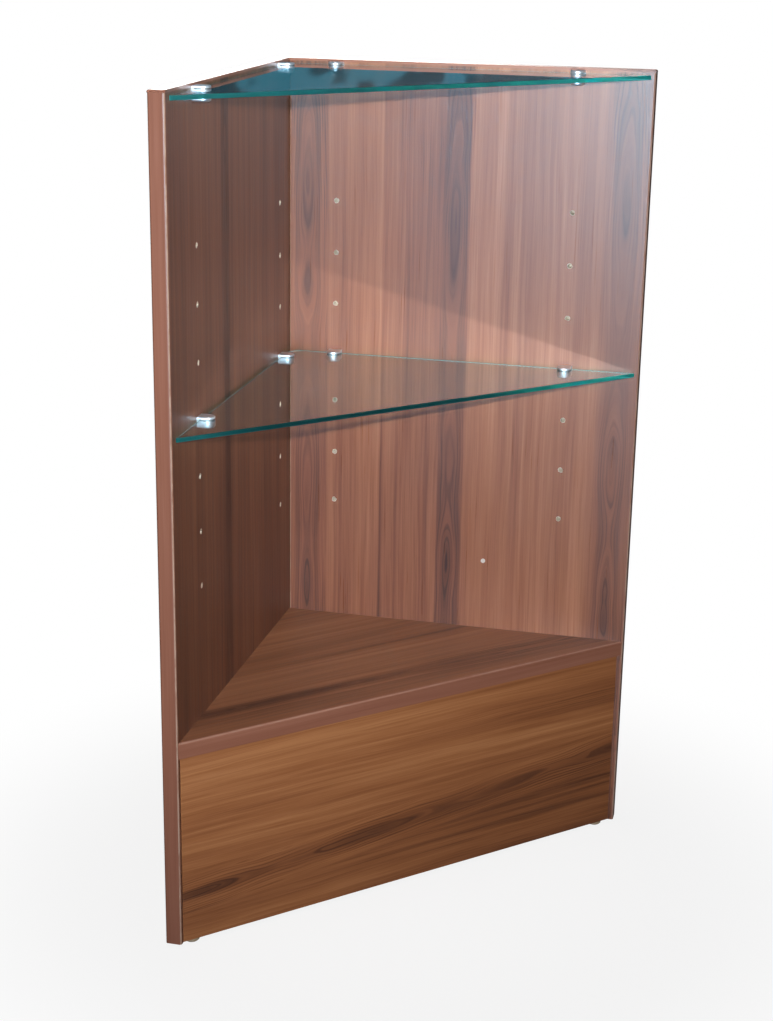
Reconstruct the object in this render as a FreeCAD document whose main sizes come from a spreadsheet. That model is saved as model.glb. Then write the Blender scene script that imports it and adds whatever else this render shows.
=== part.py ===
import FreeCAD, Part
import os
import Sketcher

# Corner display cabinet: two drilled walls butt together at a right angle, a triangular deck
# stands on a diagonal kick board, and chrome clamps plugged into the walls carry two glass shelves.
# In the finished frame +X runs along the right wall, +Y points through it, +Z is up, and the
# origin is on the floor under the middle of the cabinet's box. Sketches are drawn from the
# inner corner of the two walls: x to the right, y negative towards the front, z from the floor.

driving_sizes = (
    ("overall_width", 460, "outer length of the cabinet along each room wall"),
    ("overall_height", 965, "floor to the top of the walls"),
    ("board", 19, "thickness of every laminated board"),
    ("edge_band", 3, "thickness of the plastic edge bands"),
    ("band_round", 2.6, "rounding of the bands' outer edges"),
    ("deck_height", 256, "floor to the top of the deck"),
    ("deck_setback", 2, "walls' front ends to the deck's front line, along each wall"),
    ("kick_setback", 7, "walls' front ends to the kick board's front line, along each wall"),
    ("glide_height", 5, "thickness of a glide under the boards"),
    ("glide_radius", 9, "radius of a glide"),
    ("glide_round", 1.5, "bevel round a glide's sole"),
    ("glide_inset", 4, "wall face to the glide's nail"),
    ("nail_radius", 1, "radius of a glide's nail"),
    ("nail_length", 12, "length of a glide's nail in the board"),
    ("glass_thickness", 5, "thickness of each glass shelf"),
    ("glass_gap", 3, "wall face to the glass edge"),
    ("glass_setback", 1, "walls' front ends to the line of the glass front edge"),
    ("glass_tip", 1.5, "flat ground on the two sharp tips"),
    ("glass_corner", 12, "cut across the glass's back corner"),
    ("glass_arris", 0.5, "ground arris along the glass edges"),
    ("shelf_hole_radius", 2.5, "radius of the shelf holes"),
    ("shelf_hole_depth", 11, "depth of the shelf holes"),
    ("lowest_row", 412, "floor to the lowest row of shelf holes"),
    ("row_pitch", 64, "spacing of the rows of shelf holes"),
    ("back_column", 60, "board's back end to its back column of holes"),
    ("front_column", 90, "board's front end to its front column of holes"),
    ("top_shelf_drop", 8, "top of the walls to the top shelf's holes"),
    ("clamp_width", 17, "width of a glass clamp along the wall"),
    ("clamp_depth", 18, "reach of a glass clamp from the wall"),
    ("clamp_back", 2.5, "metal behind the clamp's slot"),
    ("upper_jaw", 2.5, "metal above the clamp's slot"),
    ("lower_jaw", 8, "metal below the clamp's slot"),
    ("upper_round", 0.9, "rounding of the upper jaw's rim"),
    ("lower_taper", 2.4, "bevel of the lower jaw's rim"),
    ("plug_length", 9, "length of the clamp's plug in the wall"),
    ("pad_thickness", 0.5, "thickness of a clear pad on a jaw"),
    ("pad_width", 10, "width of a pad along the wall"),
    ("pad_reach", 10, "length of a pad away from the wall"),
    ("grub_radius", 2, "radius of the clamp's grub screw"),
    ("grub_reach", 9, "wall face to the grub screw's axis"),
    ("grub_socket", 1, "half width of the grub screw's hexagon socket"),
    ("grub_socket_depth", 1.6, "depth of the grub screw's socket"),
    ("dowel_radius", 4, "radius of the wooden dowels"),
    ("dowel_in_face", 11, "depth of a dowel in a board's face"),
    ("dowel_in_edge", 19, "depth of a dowel in a board's edge or in the kick board's top"),
    ("dowel_slack", 1.5, "space left beyond a dowel's end"),
    ("cam_radius", 7.5, "radius of a cam's housing"),
    ("cam_length", 12.5, "length of a cam"),
    ("cam_setback", 34, "board's edge to the cam's axis"),
    ("cam_slot_length", 8, "length of the cam's cross recess"),
    ("cam_slot_width", 1.4, "width of the cam's cross recess"),
    ("cam_slot_depth", 2.5, "depth of the cam's cross recess"),
    ("bolt_thread_radius", 2.5, "radius of the cam bolt's thread"),
    ("bolt_thread_length", 10.5, "length of the cam bolt's thread"),
    ("bolt_radius", 3, "radius of the cam bolt's shank"),
    ("bolt_head_radius", 3.5, "radius of the cam bolt's head"),
    ("bolt_head_length", 3, "length of the cam bolt's head"),
    ("bolt_bore_radius", 4, "radius of the bore that the cam bolt passes"),
    ("corner_fixing_inset", 62, "walls' ends to the outer fixings of the corner joint"),
    ("corner_dowel_offset", 60, "corner cam bolts to the dowels beside them"),
    ("deck_fixing_near", 76, "inner corner to the deck's first cam"),
    ("deck_fixing_far", 138, "deck's front line to its second cam, along each wall"),
    ("deck_dowel_offset", 46, "deck's cams to the dowels beside them"),
    ("kick_dowel_inset", 79, "wall face to the kick board's outer dowels"),
    ("bracket_leg", 35, "length of the kick bracket's legs"),
    ("bracket_sheet", 2, "thickness of the kick brackets"),
    ("bracket_width", 40, "height of the kick brackets"),
    ("bracket_height", 100, "floor to the kick brackets"),
    ("bracket_hole_reach", 22, "bend of a bracket to its screws"),
    ("bracket_hole_inset", 10, "bracket's upper and lower edges to its screws"),
    ("screw_radius", 1.7, "radius of the bracket screws"),
    ("screw_length", 14, "length of the bracket screws under the head"),
    ("screw_head_radius", 3.5, "radius of the bracket screws' heads"),
    ("screw_head_height", 2.2, "height of the bracket screws' heads"),
    ("cap_radius", 2.8, "radius of the cap over the wall fixing"),
    ("cap_height", 0.8, "height of the cap over the wall fixing"),
    ("cap_stem_radius", 2, "radius of the cap's stem"),
    ("cap_stem_length", 7, "length of the cap's stem"),
    ("cap_reach", 257, "inner corner to the wall fixing"),
    ("cap_drop", 65, "lowest row of shelf holes to the wall fixing"),
    ("fit_gap", 0.05, "clearance round every plug, screw, dowel and cam"),
    ("overrun", 2, "how far a cut runs past the piece"),
)

row_count = 7
middle_row = row_count // 2

doc = FreeCAD.newDocument("corner_cabinet")
dim = doc.addObject("Spreadsheet::Sheet", "dim")
for row, (alias, value, note) in enumerate(driving_sizes, start=1):
    dim.set(f"A{row}", alias)
    dim.set(f"B{row}", str(value))
    dim.setAlias(f"B{row}", alias)
    dim.set(f"C{row}", note)
doc.recompute()

nodes = []

# Lengths that several pieces share, worked out from the driving sizes
leg = "(dim.overall_width - dim.board)"
corner_x = "(dim.board - dim.overall_width / 2)"
corner_y = "(dim.overall_width / 2 - dim.board)"
core_top = "(dim.overall_height - dim.edge_band)"
wall_core_height = f"({core_top} - dim.glide_height)"
deck_leg = f"({leg} - dim.deck_setback)"
deck_core_leg = f"({deck_leg} - dim.edge_band * sqrt(2))"
deck_bottom = "(dim.deck_height - dim.board)"
deck_middle = "(dim.deck_height - dim.board / 2)"
kick_leg = f"({leg} - dim.kick_setback)"
kick_back_leg = f"({kick_leg} - dim.board * sqrt(2))"
kick_back_length = f"({kick_back_leg} * sqrt(2))"
glass_leg = f"({leg} - dim.glass_setback)"
front_hole = f"({leg} - dim.front_column)"
hole_columns = {
    "left": {"back": "(dim.back_column - dim.board)", "front": front_hole},
    "right": {"back": "dim.back_column", "front": front_hole},
}
clamp_slot = "(dim.glass_thickness + 2 * dim.pad_thickness)"
clamp_height = f"({clamp_slot} + dim.upper_jaw + dim.lower_jaw)"
shelf_heights = {
    "mid": f"(dim.lowest_row + {middle_row} * dim.row_pitch)",
    "top": "(dim.overall_height - dim.top_shelf_drop)",
}
wall_middle = "(dim.board / 2)"
corner_bolt_heights = (
    "(dim.glide_height + dim.corner_fixing_inset)",
    "((dim.overall_height + dim.glide_height) / 2)",
    "(dim.overall_height - dim.corner_fixing_inset)",
)
corner_dowel_heights = (
    f"({corner_bolt_heights[0]} + dim.corner_dowel_offset)",
    f"({corner_bolt_heights[2]} - dim.corner_dowel_offset)",
)
deck_far_bolt = f"({deck_leg} - dim.deck_fixing_far)"
deck_bolt_reaches = ("dim.deck_fixing_near", deck_far_bolt)
deck_dowel_reaches = (
    "(dim.deck_fixing_near + dim.deck_dowel_offset)",
    f"({deck_far_bolt} - dim.deck_dowel_offset)",
)
bracket_screw_heights = (
    "(dim.bracket_height + dim.bracket_hole_inset)",
    "(dim.bracket_height + dim.bracket_width - dim.bracket_hole_inset)",
)
bracket_along = f"({kick_back_leg} - dim.bracket_hole_reach)"
pilot_depth = "(dim.screw_length - dim.bracket_sheet + dim.fit_gap)"
kick_middle = f"({kick_leg} / 2 - dim.board * sqrt(2) / 4)"
kick_dowel_shifts = (
    f"(dim.kick_dowel_inset - {kick_middle})",
    "0",
    f"({kick_middle} - dim.kick_dowel_inset)",
)
bolt_bore_depth = "dim.cam_setback + dim.bolt_bore_radius"

# Directions, and how a straight piece that stands on +Z is turned to them
upright = FreeCAD.Vector(0, 0, 1)
turns = {
    "+X": FreeCAD.Rotation(upright, FreeCAD.Vector(1, 0, 0)),
    "-X": FreeCAD.Rotation(upright, FreeCAD.Vector(-1, 0, 0)),
    "+Y": FreeCAD.Rotation(upright, FreeCAD.Vector(0, 1, 0)),
    "-Y": FreeCAD.Rotation(upright, FreeCAD.Vector(0, -1, 0)),
    "+Z": FreeCAD.Rotation(),
    "front": FreeCAD.Rotation(upright, FreeCAD.Vector(1, -1, 0)),
}


def number(expression):
    return float(dim.evalExpression(expression))


def bind(item, **expressions):
    for name, expression in expressions.items():
        item.setExpression(name, expression)


def place(item, x, y, z, turn=FreeCAD.Rotation()):
    item.Placement = FreeCAD.Placement(FreeCAD.Vector(), turn)
    item.setExpression("Placement.Base.x", x)
    item.setExpression("Placement.Base.y", y)
    item.setExpression("Placement.Base.z", z)


def node(item, name):
    item.Label = name
    nodes.append(item)
    return item


def corner_node(item, name):
    # A node drawn from the inner corner takes its place in the finished frame here
    place(item, corner_x, corner_y, "0")
    return node(item, name)


def new_body(name):
    return doc.addObject("PartDesign::Body", name)


def new_sketch(body, name, role, lift="0"):
    sketch = body.newObject("Sketcher::SketchObject", name)
    plane = next(item for item in body.Origin.OriginFeatures if item.Role == role)
    sketch.AttachmentSupport = [(plane, "")]
    sketch.MapMode = "FlatFace"
    sketch.setExpression("AttachmentOffset.Base.z", lift)
    return sketch


def hold(sketch, element, point, **places):
    # Ties one point of the sketch to its x and y from the sketch's origin
    for axis, value in places.items():
        rule = Sketcher.Constraint(f"Distance{axis.upper()}", -1, 1, element, point, number(value))
        index = sketch.addConstraint(rule)
        sketch.setExpression(f"Constraints[{index}]", value)


def draw_outline(sketch, points):
    # A closed outline of straight lines
    spots = [FreeCAD.Vector(number(x), number(y), 0) for x, y in points]
    count = len(points)
    for index in range(count):
        sketch.addGeometry(Part.LineSegment(spots[index], spots[(index + 1) % count]), False)
    for index in range(count):
        sketch.addConstraint(Sketcher.Constraint("Coincident", index, 2, (index + 1) % count, 1))
    for index, (x, y) in enumerate(points):
        hold(sketch, index, 1, x=x, y=y)


def draw_circles(sketch, spots, radius):
    for x, y in spots:
        centre = FreeCAD.Vector(number(x), number(y), 0)
        circle = sketch.addGeometry(Part.Circle(centre, upright, number(radius)), False)
        hold(sketch, circle, 3, x=x, y=y)
        index = sketch.addConstraint(Sketcher.Constraint("Radius", circle, number(radius)))
        sketch.setExpression(f"Constraints[{index}]", radius)


def pad(body, sketch, length, back=False):
    feature = body.newObject("PartDesign::Pad", f"{sketch.Name}_pad")
    feature.Profile = sketch
    feature.Reversed = back
    bind(feature, Length=length)
    body.Tip = feature
    return feature


def pocket(body, sketch, depth, back=False, both=False):
    feature = body.newObject("PartDesign::Pocket", f"{sketch.Name}_pocket")
    feature.Profile = sketch
    feature.Reversed = back
    feature.Midplane = both
    bind(feature, Length=depth)
    body.Tip = feature
    return feature


def drill(body, name, role, spots, radius, depth, lift="0", back=False):
    sketch = new_sketch(body, name, role, lift)
    draw_circles(sketch, spots, radius)
    return pocket(body, sketch, depth, back)


def slab(name, points, bottom, height):
    # A board or band cut to a plan outline
    body = new_body(name)
    sketch = new_sketch(body, f"{name}_plan", "XY_Plane", bottom)
    draw_outline(sketch, points)
    pad(body, sketch, height)
    return body


def rectangle(x_low, y_low, x_high, y_high):
    return [(x_low, y_low), (x_high, y_low), (x_high, y_high), (x_low, y_high)]


def dress(body, kind, size, name, chosen):
    # Rounds (Fillet) or bevels (Chamfer) the edges that the test picks
    doc.recompute()
    base = body.Tip
    edges = [f"Edge{index}" for index, edge in enumerate(base.Shape.Edges, start=1) if chosen(edge)]
    feature = body.newObject(f"PartDesign::{kind}", name)
    feature.Base = (base, edges)
    bind(feature, **{"Radius" if kind == "Fillet" else "Size": size})
    body.Tip = feature
    return feature


def lies_at(edge, axis, expression):
    # True where the whole edge lies at one height, depth or width
    value = number(expression)
    box = edge.BoundBox
    ends = {"x": (box.XMin, box.XMax), "y": (box.YMin, box.YMax), "z": (box.ZMin, box.ZMax)}[axis]
    return all(abs(end - value) < number("dim.fit_gap") for end in ends)


def rod(name, direction, spot, radius, length):
    cylinder = doc.addObject("Part::Cylinder", name)
    bind(cylinder, Radius=radius, Height=length)
    place(cylinder, *spot, turns[direction])
    return cylinder


def block(name, spot, length, width, height):
    box = doc.addObject("Part::Box", name)
    bind(box, Length=length, Width=width, Height=height)
    place(box, *spot)
    return box


def fuse(name, pieces):
    result = doc.addObject("Part::MultiFuse", name)
    result.Shapes = pieces
    return result


def cut(name, base, tool):
    result = doc.addObject("Part::Cut", name)
    result.Base = base
    result.Tool = tool
    return result


def group(name, pieces):
    # Several like pieces that share one node stay separate solids
    result = doc.addObject("Part::Compound", f"{name}_group")
    result.Links = pieces
    return corner_node(result, name)


def from_wall(wall, along, out, height):
    # A place in the cabinet, given along a wall from the inner corner and out from its face
    if wall == "left":
        return (out, f"-({along})", height)
    return (along, f"-({out})", height)


into_wall = {"left": "-X", "right": "+Y"}
out_of_wall = {"left": "+X", "right": "-Y"}
wall_planes = {"left": "YZ_Plane", "right": "XZ_Plane"}


def on_wall(wall, along):
    # Sketches on the left wall run along y, and those on the right wall along x
    return f"-({along})" if wall == "left" else f"({along})"


def drill_wall(body, wall):
    # The face that looks into the cabinet: shelf holes, top clamps, deck and kick fixings
    role = wall_planes[wall]
    first_row = new_sketch(body, f"{wall}_lowest_holes", role)
    spots = [(on_wall(wall, along), "dim.lowest_row") for along in hole_columns[wall].values()]
    draw_circles(first_row, spots, "dim.shelf_hole_radius")
    first = pocket(body, first_row, "dim.shelf_hole_depth")
    rows = body.newObject("PartDesign::LinearPattern", f"{wall}_hole_rows")
    rows.Originals = [first]
    rows.Direction = (first_row, ["V_Axis"])
    rows.Occurrences = row_count
    bind(rows, Length=f"{row_count - 1} * dim.row_pitch")
    body.Tip = rows
    top_spots = [(on_wall(wall, along), shelf_heights["top"]) for along in hole_columns[wall].values()]
    drill(body, f"{wall}_top_holes", role, top_spots, "dim.shelf_hole_radius", "dim.shelf_hole_depth")
    bolt_spots = [(on_wall(wall, reach), deck_middle) for reach in deck_bolt_reaches]
    drill(body, f"{wall}_deck_bolt_holes", role, bolt_spots,
          "dim.bolt_thread_radius", "dim.dowel_in_face")
    dowel_spots = [(on_wall(wall, reach), deck_middle) for reach in deck_dowel_reaches]
    drill(body, f"{wall}_deck_dowel_holes", role, dowel_spots, "dim.dowel_radius", "dim.dowel_in_face")
    screw_spots = [(on_wall(wall, bracket_along), height) for height in bracket_screw_heights]
    drill(body, f"{wall}_bracket_pilots", role, screw_spots,
          "dim.screw_radius + dim.fit_gap", pilot_depth)


# Left wall, which runs the full depth and covers the right wall's end
corner_bolt_spots = [(wall_middle, height) for height in corner_bolt_heights]
corner_dowel_spots = [(wall_middle, height) for height in corner_dowel_heights]
left_panel = slab("left_panel_body",
                  rectangle("-dim.board", f"dim.edge_band - {leg}", "0", "dim.board - dim.edge_band"),
                  "dim.glide_height", wall_core_height)
drill_wall(left_panel, "left")
drill(left_panel, "left_corner_bolt_holes", "YZ_Plane", corner_bolt_spots,
      "dim.bolt_thread_radius", "dim.dowel_in_face")
drill(left_panel, "left_corner_dowel_holes", "YZ_Plane", corner_dowel_spots,
      "dim.dowel_radius", "dim.dowel_in_face")
corner_node(left_panel, "left_panel")

# Right wall, which butts against the left wall's inner face
right_panel = slab("right_panel_body",
                   rectangle("dim.edge_band", "0", f"{leg} - dim.edge_band", "dim.board"),
                   "dim.glide_height", wall_core_height)
drill_wall(right_panel, "right")
corner_cam_spots = [("dim.cam_setback", height) for height in corner_bolt_heights]
drill(right_panel, "right_cam_housings", "XZ_Plane", corner_cam_spots,
      "dim.cam_radius", "dim.cam_length", lift="-dim.board", back=True)
drill(right_panel, "right_bolt_bores", "YZ_Plane", corner_bolt_spots,
      "dim.bolt_bore_radius", bolt_bore_depth, back=True)
drill(right_panel, "right_end_dowel_holes", "YZ_Plane", corner_dowel_spots,
      "dim.dowel_radius", "dim.dowel_in_edge", back=True)
cap_height_above_floor = "(dim.lowest_row - dim.cap_drop)"
drill(right_panel, "wall_fixing_hole", "XZ_Plane", [("dim.cap_reach", cap_height_above_floor)],
      "dim.cap_stem_radius + dim.fit_gap", "dim.board")
drill(right_panel, "corner_glide_pilot", "XY_Plane", [("dim.glide_inset", wall_middle)],
      "dim.nail_radius", "dim.nail_length", lift="dim.glide_height", back=True)
corner_node(right_panel, "right_panel")


def round_band(body, name, chosen):
    # Edge bands are strips of plastic glued on the boards' edges, rounded on the outside
    dress(body, "Fillet", "dim.band_round", f"{name}_rounding", chosen)


left_front_band = slab("left_front_band_body",
                       rectangle("-dim.board", f"-{leg}", "0", f"dim.edge_band - {leg}"),
                       "dim.glide_height", wall_core_height)
round_band(left_front_band, "left_front_band", lambda edge: lies_at(edge, "y", f"-{leg}")
           and (lies_at(edge, "x", "-dim.board") or lies_at(edge, "x", "0")))
corner_node(left_front_band, "left_panel_front_band")

left_back_band = slab("left_back_band_body",
                      rectangle("-dim.board", "dim.board - dim.edge_band", "0", "dim.board"),
                      "dim.glide_height", wall_core_height)
round_band(left_back_band, "left_back_band", lambda edge: lies_at(edge, "y", "dim.board")
           and lies_at(edge, "x", "-dim.board"))
corner_node(left_back_band, "left_panel_back_band")

left_top_band = slab("left_top_band_body", rectangle("-dim.board", f"-{leg}", "0", "dim.board"),
                     core_top, "dim.edge_band")
round_band(left_top_band, "left_top_band", lambda edge: lies_at(edge, "z", "dim.overall_height")
           and (lies_at(edge, "x", "-dim.board") or lies_at(edge, "y", f"-{leg}")))
corner_node(left_top_band, "left_panel_top_band")

right_end_band = slab("right_end_band_body",
                      rectangle(f"{leg} - dim.edge_band", "0", leg, "dim.board"),
                      "dim.glide_height", wall_core_height)
round_band(right_end_band, "right_end_band", lambda edge: lies_at(edge, "x", leg)
           and (lies_at(edge, "y", "0") or lies_at(edge, "y", "dim.board")))
corner_node(right_end_band, "right_panel_end_band")

right_corner_band = slab("right_corner_band_body", rectangle("0", "0", "dim.edge_band", "dim.board"),
                         "dim.glide_height", wall_core_height)
round_band(right_corner_band, "right_corner_band",
           lambda edge: lies_at(edge, "x", "0") and lies_at(edge, "y", "0"))
drill(right_corner_band, "corner_band_bolt_holes", "YZ_Plane", corner_bolt_spots,
      "dim.bolt_bore_radius", "dim.edge_band", back=True)
drill(right_corner_band, "corner_band_dowel_holes", "YZ_Plane", corner_dowel_spots,
      "dim.dowel_radius", "dim.edge_band", back=True)
corner_node(right_corner_band, "right_panel_corner_band")

right_top_band = slab("right_top_band_body", rectangle("0", "0", leg, "dim.board"),
                      core_top, "dim.edge_band")
round_band(right_top_band, "right_top_band", lambda edge: lies_at(edge, "z", "dim.overall_height")
           and (lies_at(edge, "y", "dim.board") or lies_at(edge, "x", leg)))
corner_node(right_top_band, "right_panel_top_band")

# Triangular deck, with cams under it that draw it to both walls
deck_panel = slab("deck_panel_body", [("0", "0"), ("0", f"-{deck_core_leg}"), (deck_core_leg, "0")],
                  deck_bottom, "dim.board")
for wall, role in wall_planes.items():
    bolt_spots = [(on_wall(wall, reach), deck_middle) for reach in deck_bolt_reaches]
    drill(deck_panel, f"deck_{wall}_bolt_bores", role, bolt_spots,
          "dim.bolt_bore_radius", bolt_bore_depth, back=True)
    dowel_spots = [(on_wall(wall, reach), deck_middle) for reach in deck_dowel_reaches]
    drill(deck_panel, f"deck_{wall}_dowel_holes", role, dowel_spots,
          "dim.dowel_radius", "dim.dowel_in_edge", back=True)
deck_cam_spots = [from_wall(wall, reach, "dim.cam_setback", deck_bottom)
                  for wall in ("left", "right") for reach in deck_bolt_reaches]
drill(deck_panel, "deck_cam_housings", "XY_Plane", [spot[:2] for spot in deck_cam_spots],
      "dim.cam_radius", "dim.cam_length", lift=deck_bottom, back=True)
kick_dowel_spots = [(f"{kick_middle} + {shift}", f"{shift} - {kick_middle}")
                    for shift in kick_dowel_shifts]
drill(deck_panel, "deck_kick_dowel_holes", "XY_Plane", kick_dowel_spots,
      "dim.dowel_radius", "dim.dowel_in_face", lift=deck_bottom, back=True)
corner_node(deck_panel, "deck_panel")


def front_strip(back_reach, front_reach):
    # The plan of a strip along the diagonal front, from a line behind it up to its front line
    return [("0", f"-{back_reach}"), ("0", f"-{front_reach}"), (front_reach, "0"), (back_reach, "0")]


deck_front_band = slab("deck_front_band_body", front_strip(deck_core_leg, deck_leg),
                       deck_bottom, "dim.board")


def is_deck_front_rim(edge):
    ends = [vertex.Point for vertex in edge.Vertexes]
    reach = number(deck_leg)
    on_front = all(abs(point.x - point.y - reach) < number("dim.fit_gap") for point in ends)
    return on_front and lies_at(edge, "z", "dim.deck_height")


round_band(deck_front_band, "deck_front_band", is_deck_front_rim)
corner_node(deck_front_band, "deck_front_band")

# Diagonal kick board under the deck's front, mitred to both walls
kick_board = slab("kick_board_body", front_strip(kick_back_leg, kick_leg),
                  "dim.glide_height", f"{deck_bottom} - dim.glide_height")
drill(kick_board, "kick_dowel_holes", "XY_Plane", kick_dowel_spots,
      "dim.dowel_radius", "dim.dowel_in_edge", lift=deck_bottom)
glide_along = f"({kick_leg} - dim.board * sqrt(2) / 2 - dim.glide_inset)"
glide_spots = {
    "left_glide": from_wall("left", glide_along, "dim.glide_inset", "0"),
    "right_glide": from_wall("right", glide_along, "dim.glide_inset", "0"),
    "corner_glide": ("dim.glide_inset", wall_middle, "0"),
}
front_glide_spots = [glide_spots[f"{wall}_glide"][:2] for wall in wall_planes]
drill(kick_board, "kick_glide_pilots", "XY_Plane", front_glide_spots,
      "dim.nail_radius", "dim.nail_length", lift="dim.glide_height", back=True)


def kick_back_sketch(body, name):
    # The upright plane of the kick board's back face, measured from its left end
    sketch = new_sketch(body, name, "XZ_Plane", kick_back_leg)
    offset = sketch.AttachmentOffset
    offset.Rotation = FreeCAD.Rotation(FreeCAD.Vector(0, 1, 0), 45)
    sketch.AttachmentOffset = offset
    return sketch


bracket_screw_reaches = {
    "left": "dim.bracket_hole_reach",
    "right": f"({kick_back_length} - dim.bracket_hole_reach)",
}
kick_pilots = kick_back_sketch(kick_board, "kick_bracket_pilots")
draw_circles(kick_pilots, [(reach, height) for reach in bracket_screw_reaches.values()
                           for height in bracket_screw_heights], "dim.screw_radius + dim.fit_gap")
pocket(kick_board, kick_pilots, pilot_depth, back=True)
corner_node(kick_board, "kick_board")


# Glass shelves: right-angled triangles with blunted tips and a cut back corner
def glass_shelf(name, height):
    near = "dim.glass_gap"
    tip = f"({glass_leg} - dim.glass_gap - dim.glass_tip)"
    blunt = "(dim.glass_gap + dim.glass_tip)"
    inner = "(dim.glass_gap + dim.glass_corner)"
    points = [
        (near, f"-{inner}"),
        (near, f"-{tip}"),
        (blunt, f"-{tip}"),
        (tip, f"-{blunt}"),
        (tip, f"-{near}"),
        (inner, f"-{near}"),
    ]
    bottom = f"{height} - dim.glass_thickness / 2"
    body = slab(f"{name}_body", points, bottom, "dim.glass_thickness")
    dress(body, "Chamfer", "dim.glass_arris", f"{name}_arris",
          lambda edge: lies_at(edge, "z", bottom) or lies_at(edge, "z", f"{bottom} + dim.glass_thickness"))
    return corner_node(body, name)


glass_shelf("mid_glass", shelf_heights["mid"])
glass_shelf("top_glass", shelf_heights["top"])


# Glass clamps: a D-shaped chrome body with a slot for the glass and a plug for a shelf hole
def draw_clamp_plan(sketch):
    half = "dim.clamp_width / 2"
    straight = f"dim.clamp_depth - {half}"
    low = FreeCAD.Vector(0, -number(half), 0)
    low_end = FreeCAD.Vector(number(straight), -number(half), 0)
    nose = FreeCAD.Vector(number("dim.clamp_depth"), 0, 0)
    high_end = FreeCAD.Vector(number(straight), number(half), 0)
    high = FreeCAD.Vector(0, number(half), 0)
    sketch.addGeometry(Part.LineSegment(low, low_end), False)
    sketch.addGeometry(Part.Arc(low_end, nose, high_end), False)
    sketch.addGeometry(Part.LineSegment(high_end, high), False)
    sketch.addGeometry(Part.LineSegment(high, low), False)
    sketch.addConstraint(Sketcher.Constraint("Coincident", 0, 2, 1, 1))
    sketch.addConstraint(Sketcher.Constraint("Coincident", 1, 2, 2, 1))
    sketch.addConstraint(Sketcher.Constraint("Coincident", 2, 2, 3, 1))
    sketch.addConstraint(Sketcher.Constraint("Coincident", 3, 2, 0, 1))
    hold(sketch, 0, 1, x="0", y=f"-{half}")
    hold(sketch, 2, 2, x="0", y=half)
    hold(sketch, 0, 2, x=straight, y=f"-{half}")
    hold(sketch, 2, 1, x=straight, y=half)
    hold(sketch, 1, 3, x=straight)


def glass_clamp(name, wall, along, height):
    body = new_body(f"{name}_body")
    bottom = f"-({clamp_slot} / 2 + dim.lower_jaw)"
    plan = new_sketch(body, f"{name}_plan", "XY_Plane", bottom)
    draw_clamp_plan(plan)
    pad(body, plan, clamp_height)
    top = f"{clamp_slot} / 2 + dim.upper_jaw"
    dress(body, "Fillet", "dim.upper_round", f"{name}_rounding",
          lambda edge: lies_at(edge, "z", top) and not lies_at(edge, "x", "0"))
    dress(body, "Chamfer", "dim.lower_taper", f"{name}_taper",
          lambda edge: lies_at(edge, "z", bottom) and not lies_at(edge, "x", "0"))
    slot = new_sketch(body, f"{name}_slot", "XZ_Plane")
    draw_outline(slot, rectangle("dim.clamp_back", f"-{clamp_slot} / 2",
                                 "dim.clamp_depth + dim.overrun", f"{clamp_slot} / 2"))
    pocket(body, slot, "dim.clamp_width + 2 * dim.overrun", both=True)
    drill(body, f"{name}_grub_hole", "XY_Plane", [("dim.grub_reach", "0")],
          "dim.grub_radius", "dim.lower_jaw + dim.overrun", lift=f"-{clamp_slot} / 2")
    plug = new_sketch(body, f"{name}_plug", "YZ_Plane")
    draw_circles(plug, [("0", "0")], "dim.shelf_hole_radius - dim.fit_gap")
    pad(body, plug, "dim.plug_length", back=True)
    x, y, _ = from_wall(wall, along, "0", height)
    facing = FreeCAD.Rotation() if wall == "left" else FreeCAD.Rotation(upright, -90)
    place(body, f"{corner_x} + {x}", f"{corner_y} + {y}", height, facing)
    return node(body, name)


def clamp_pads(name, wall, along, height):
    # One clear pad on each jaw, between the metal and the glass
    pads = []
    levels = {
        "upper": f"{height} + dim.glass_thickness / 2",
        "lower": f"{height} - {clamp_slot} / 2",
    }
    near = "(dim.grub_reach - dim.pad_reach / 2)"
    side = f"({along} - dim.pad_width / 2)"
    for level, bottom in levels.items():
        if wall == "left":
            spot = (near, f"-({side} + dim.pad_width)", bottom)
            sides = ("dim.pad_reach", "dim.pad_width")
        else:
            spot = (side, f"-({near} + dim.pad_reach)", bottom)
            sides = ("dim.pad_width", "dim.pad_reach")
        pads.append(block(f"{name}_{level}_pad", spot, *sides, "dim.pad_thickness"))
    return pads


def grub_screw(name, wall, along, height):
    # It stands in the lower jaw and presses the lower pad up against the glass
    spot = from_wall(wall, along, "dim.grub_reach", f"{height} - {clamp_slot} / 2 - dim.lower_jaw")
    shank = rod(f"{name}_grub_shank", "+Z", spot, "dim.grub_radius - dim.fit_gap", "dim.lower_jaw")
    socket = doc.addObject("Part::Prism", f"{name}_grub_socket")
    socket.Polygon = 6
    bind(socket, Circumradius="dim.grub_socket * 2 / sqrt(3)", Height="dim.grub_socket_depth")
    place(socket, *spot)
    return cut(f"{name}_grub_screw", shank, socket)


for shelf, height in shelf_heights.items():
    pads = []
    grub_screws = []
    for wall in ("left", "right"):
        for column, along in hole_columns[wall].items():
            name = f"{shelf}_{wall}_{column}"
            glass_clamp(f"{name}_clamp", wall, along, height)
            pads.extend(clamp_pads(name, wall, along, height))
            grub_screws.append(grub_screw(name, wall, along, height))
    group(f"{shelf}_clamp_pads", pads)
    group(f"{shelf}_clamp_grub_screws", grub_screws)


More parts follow.
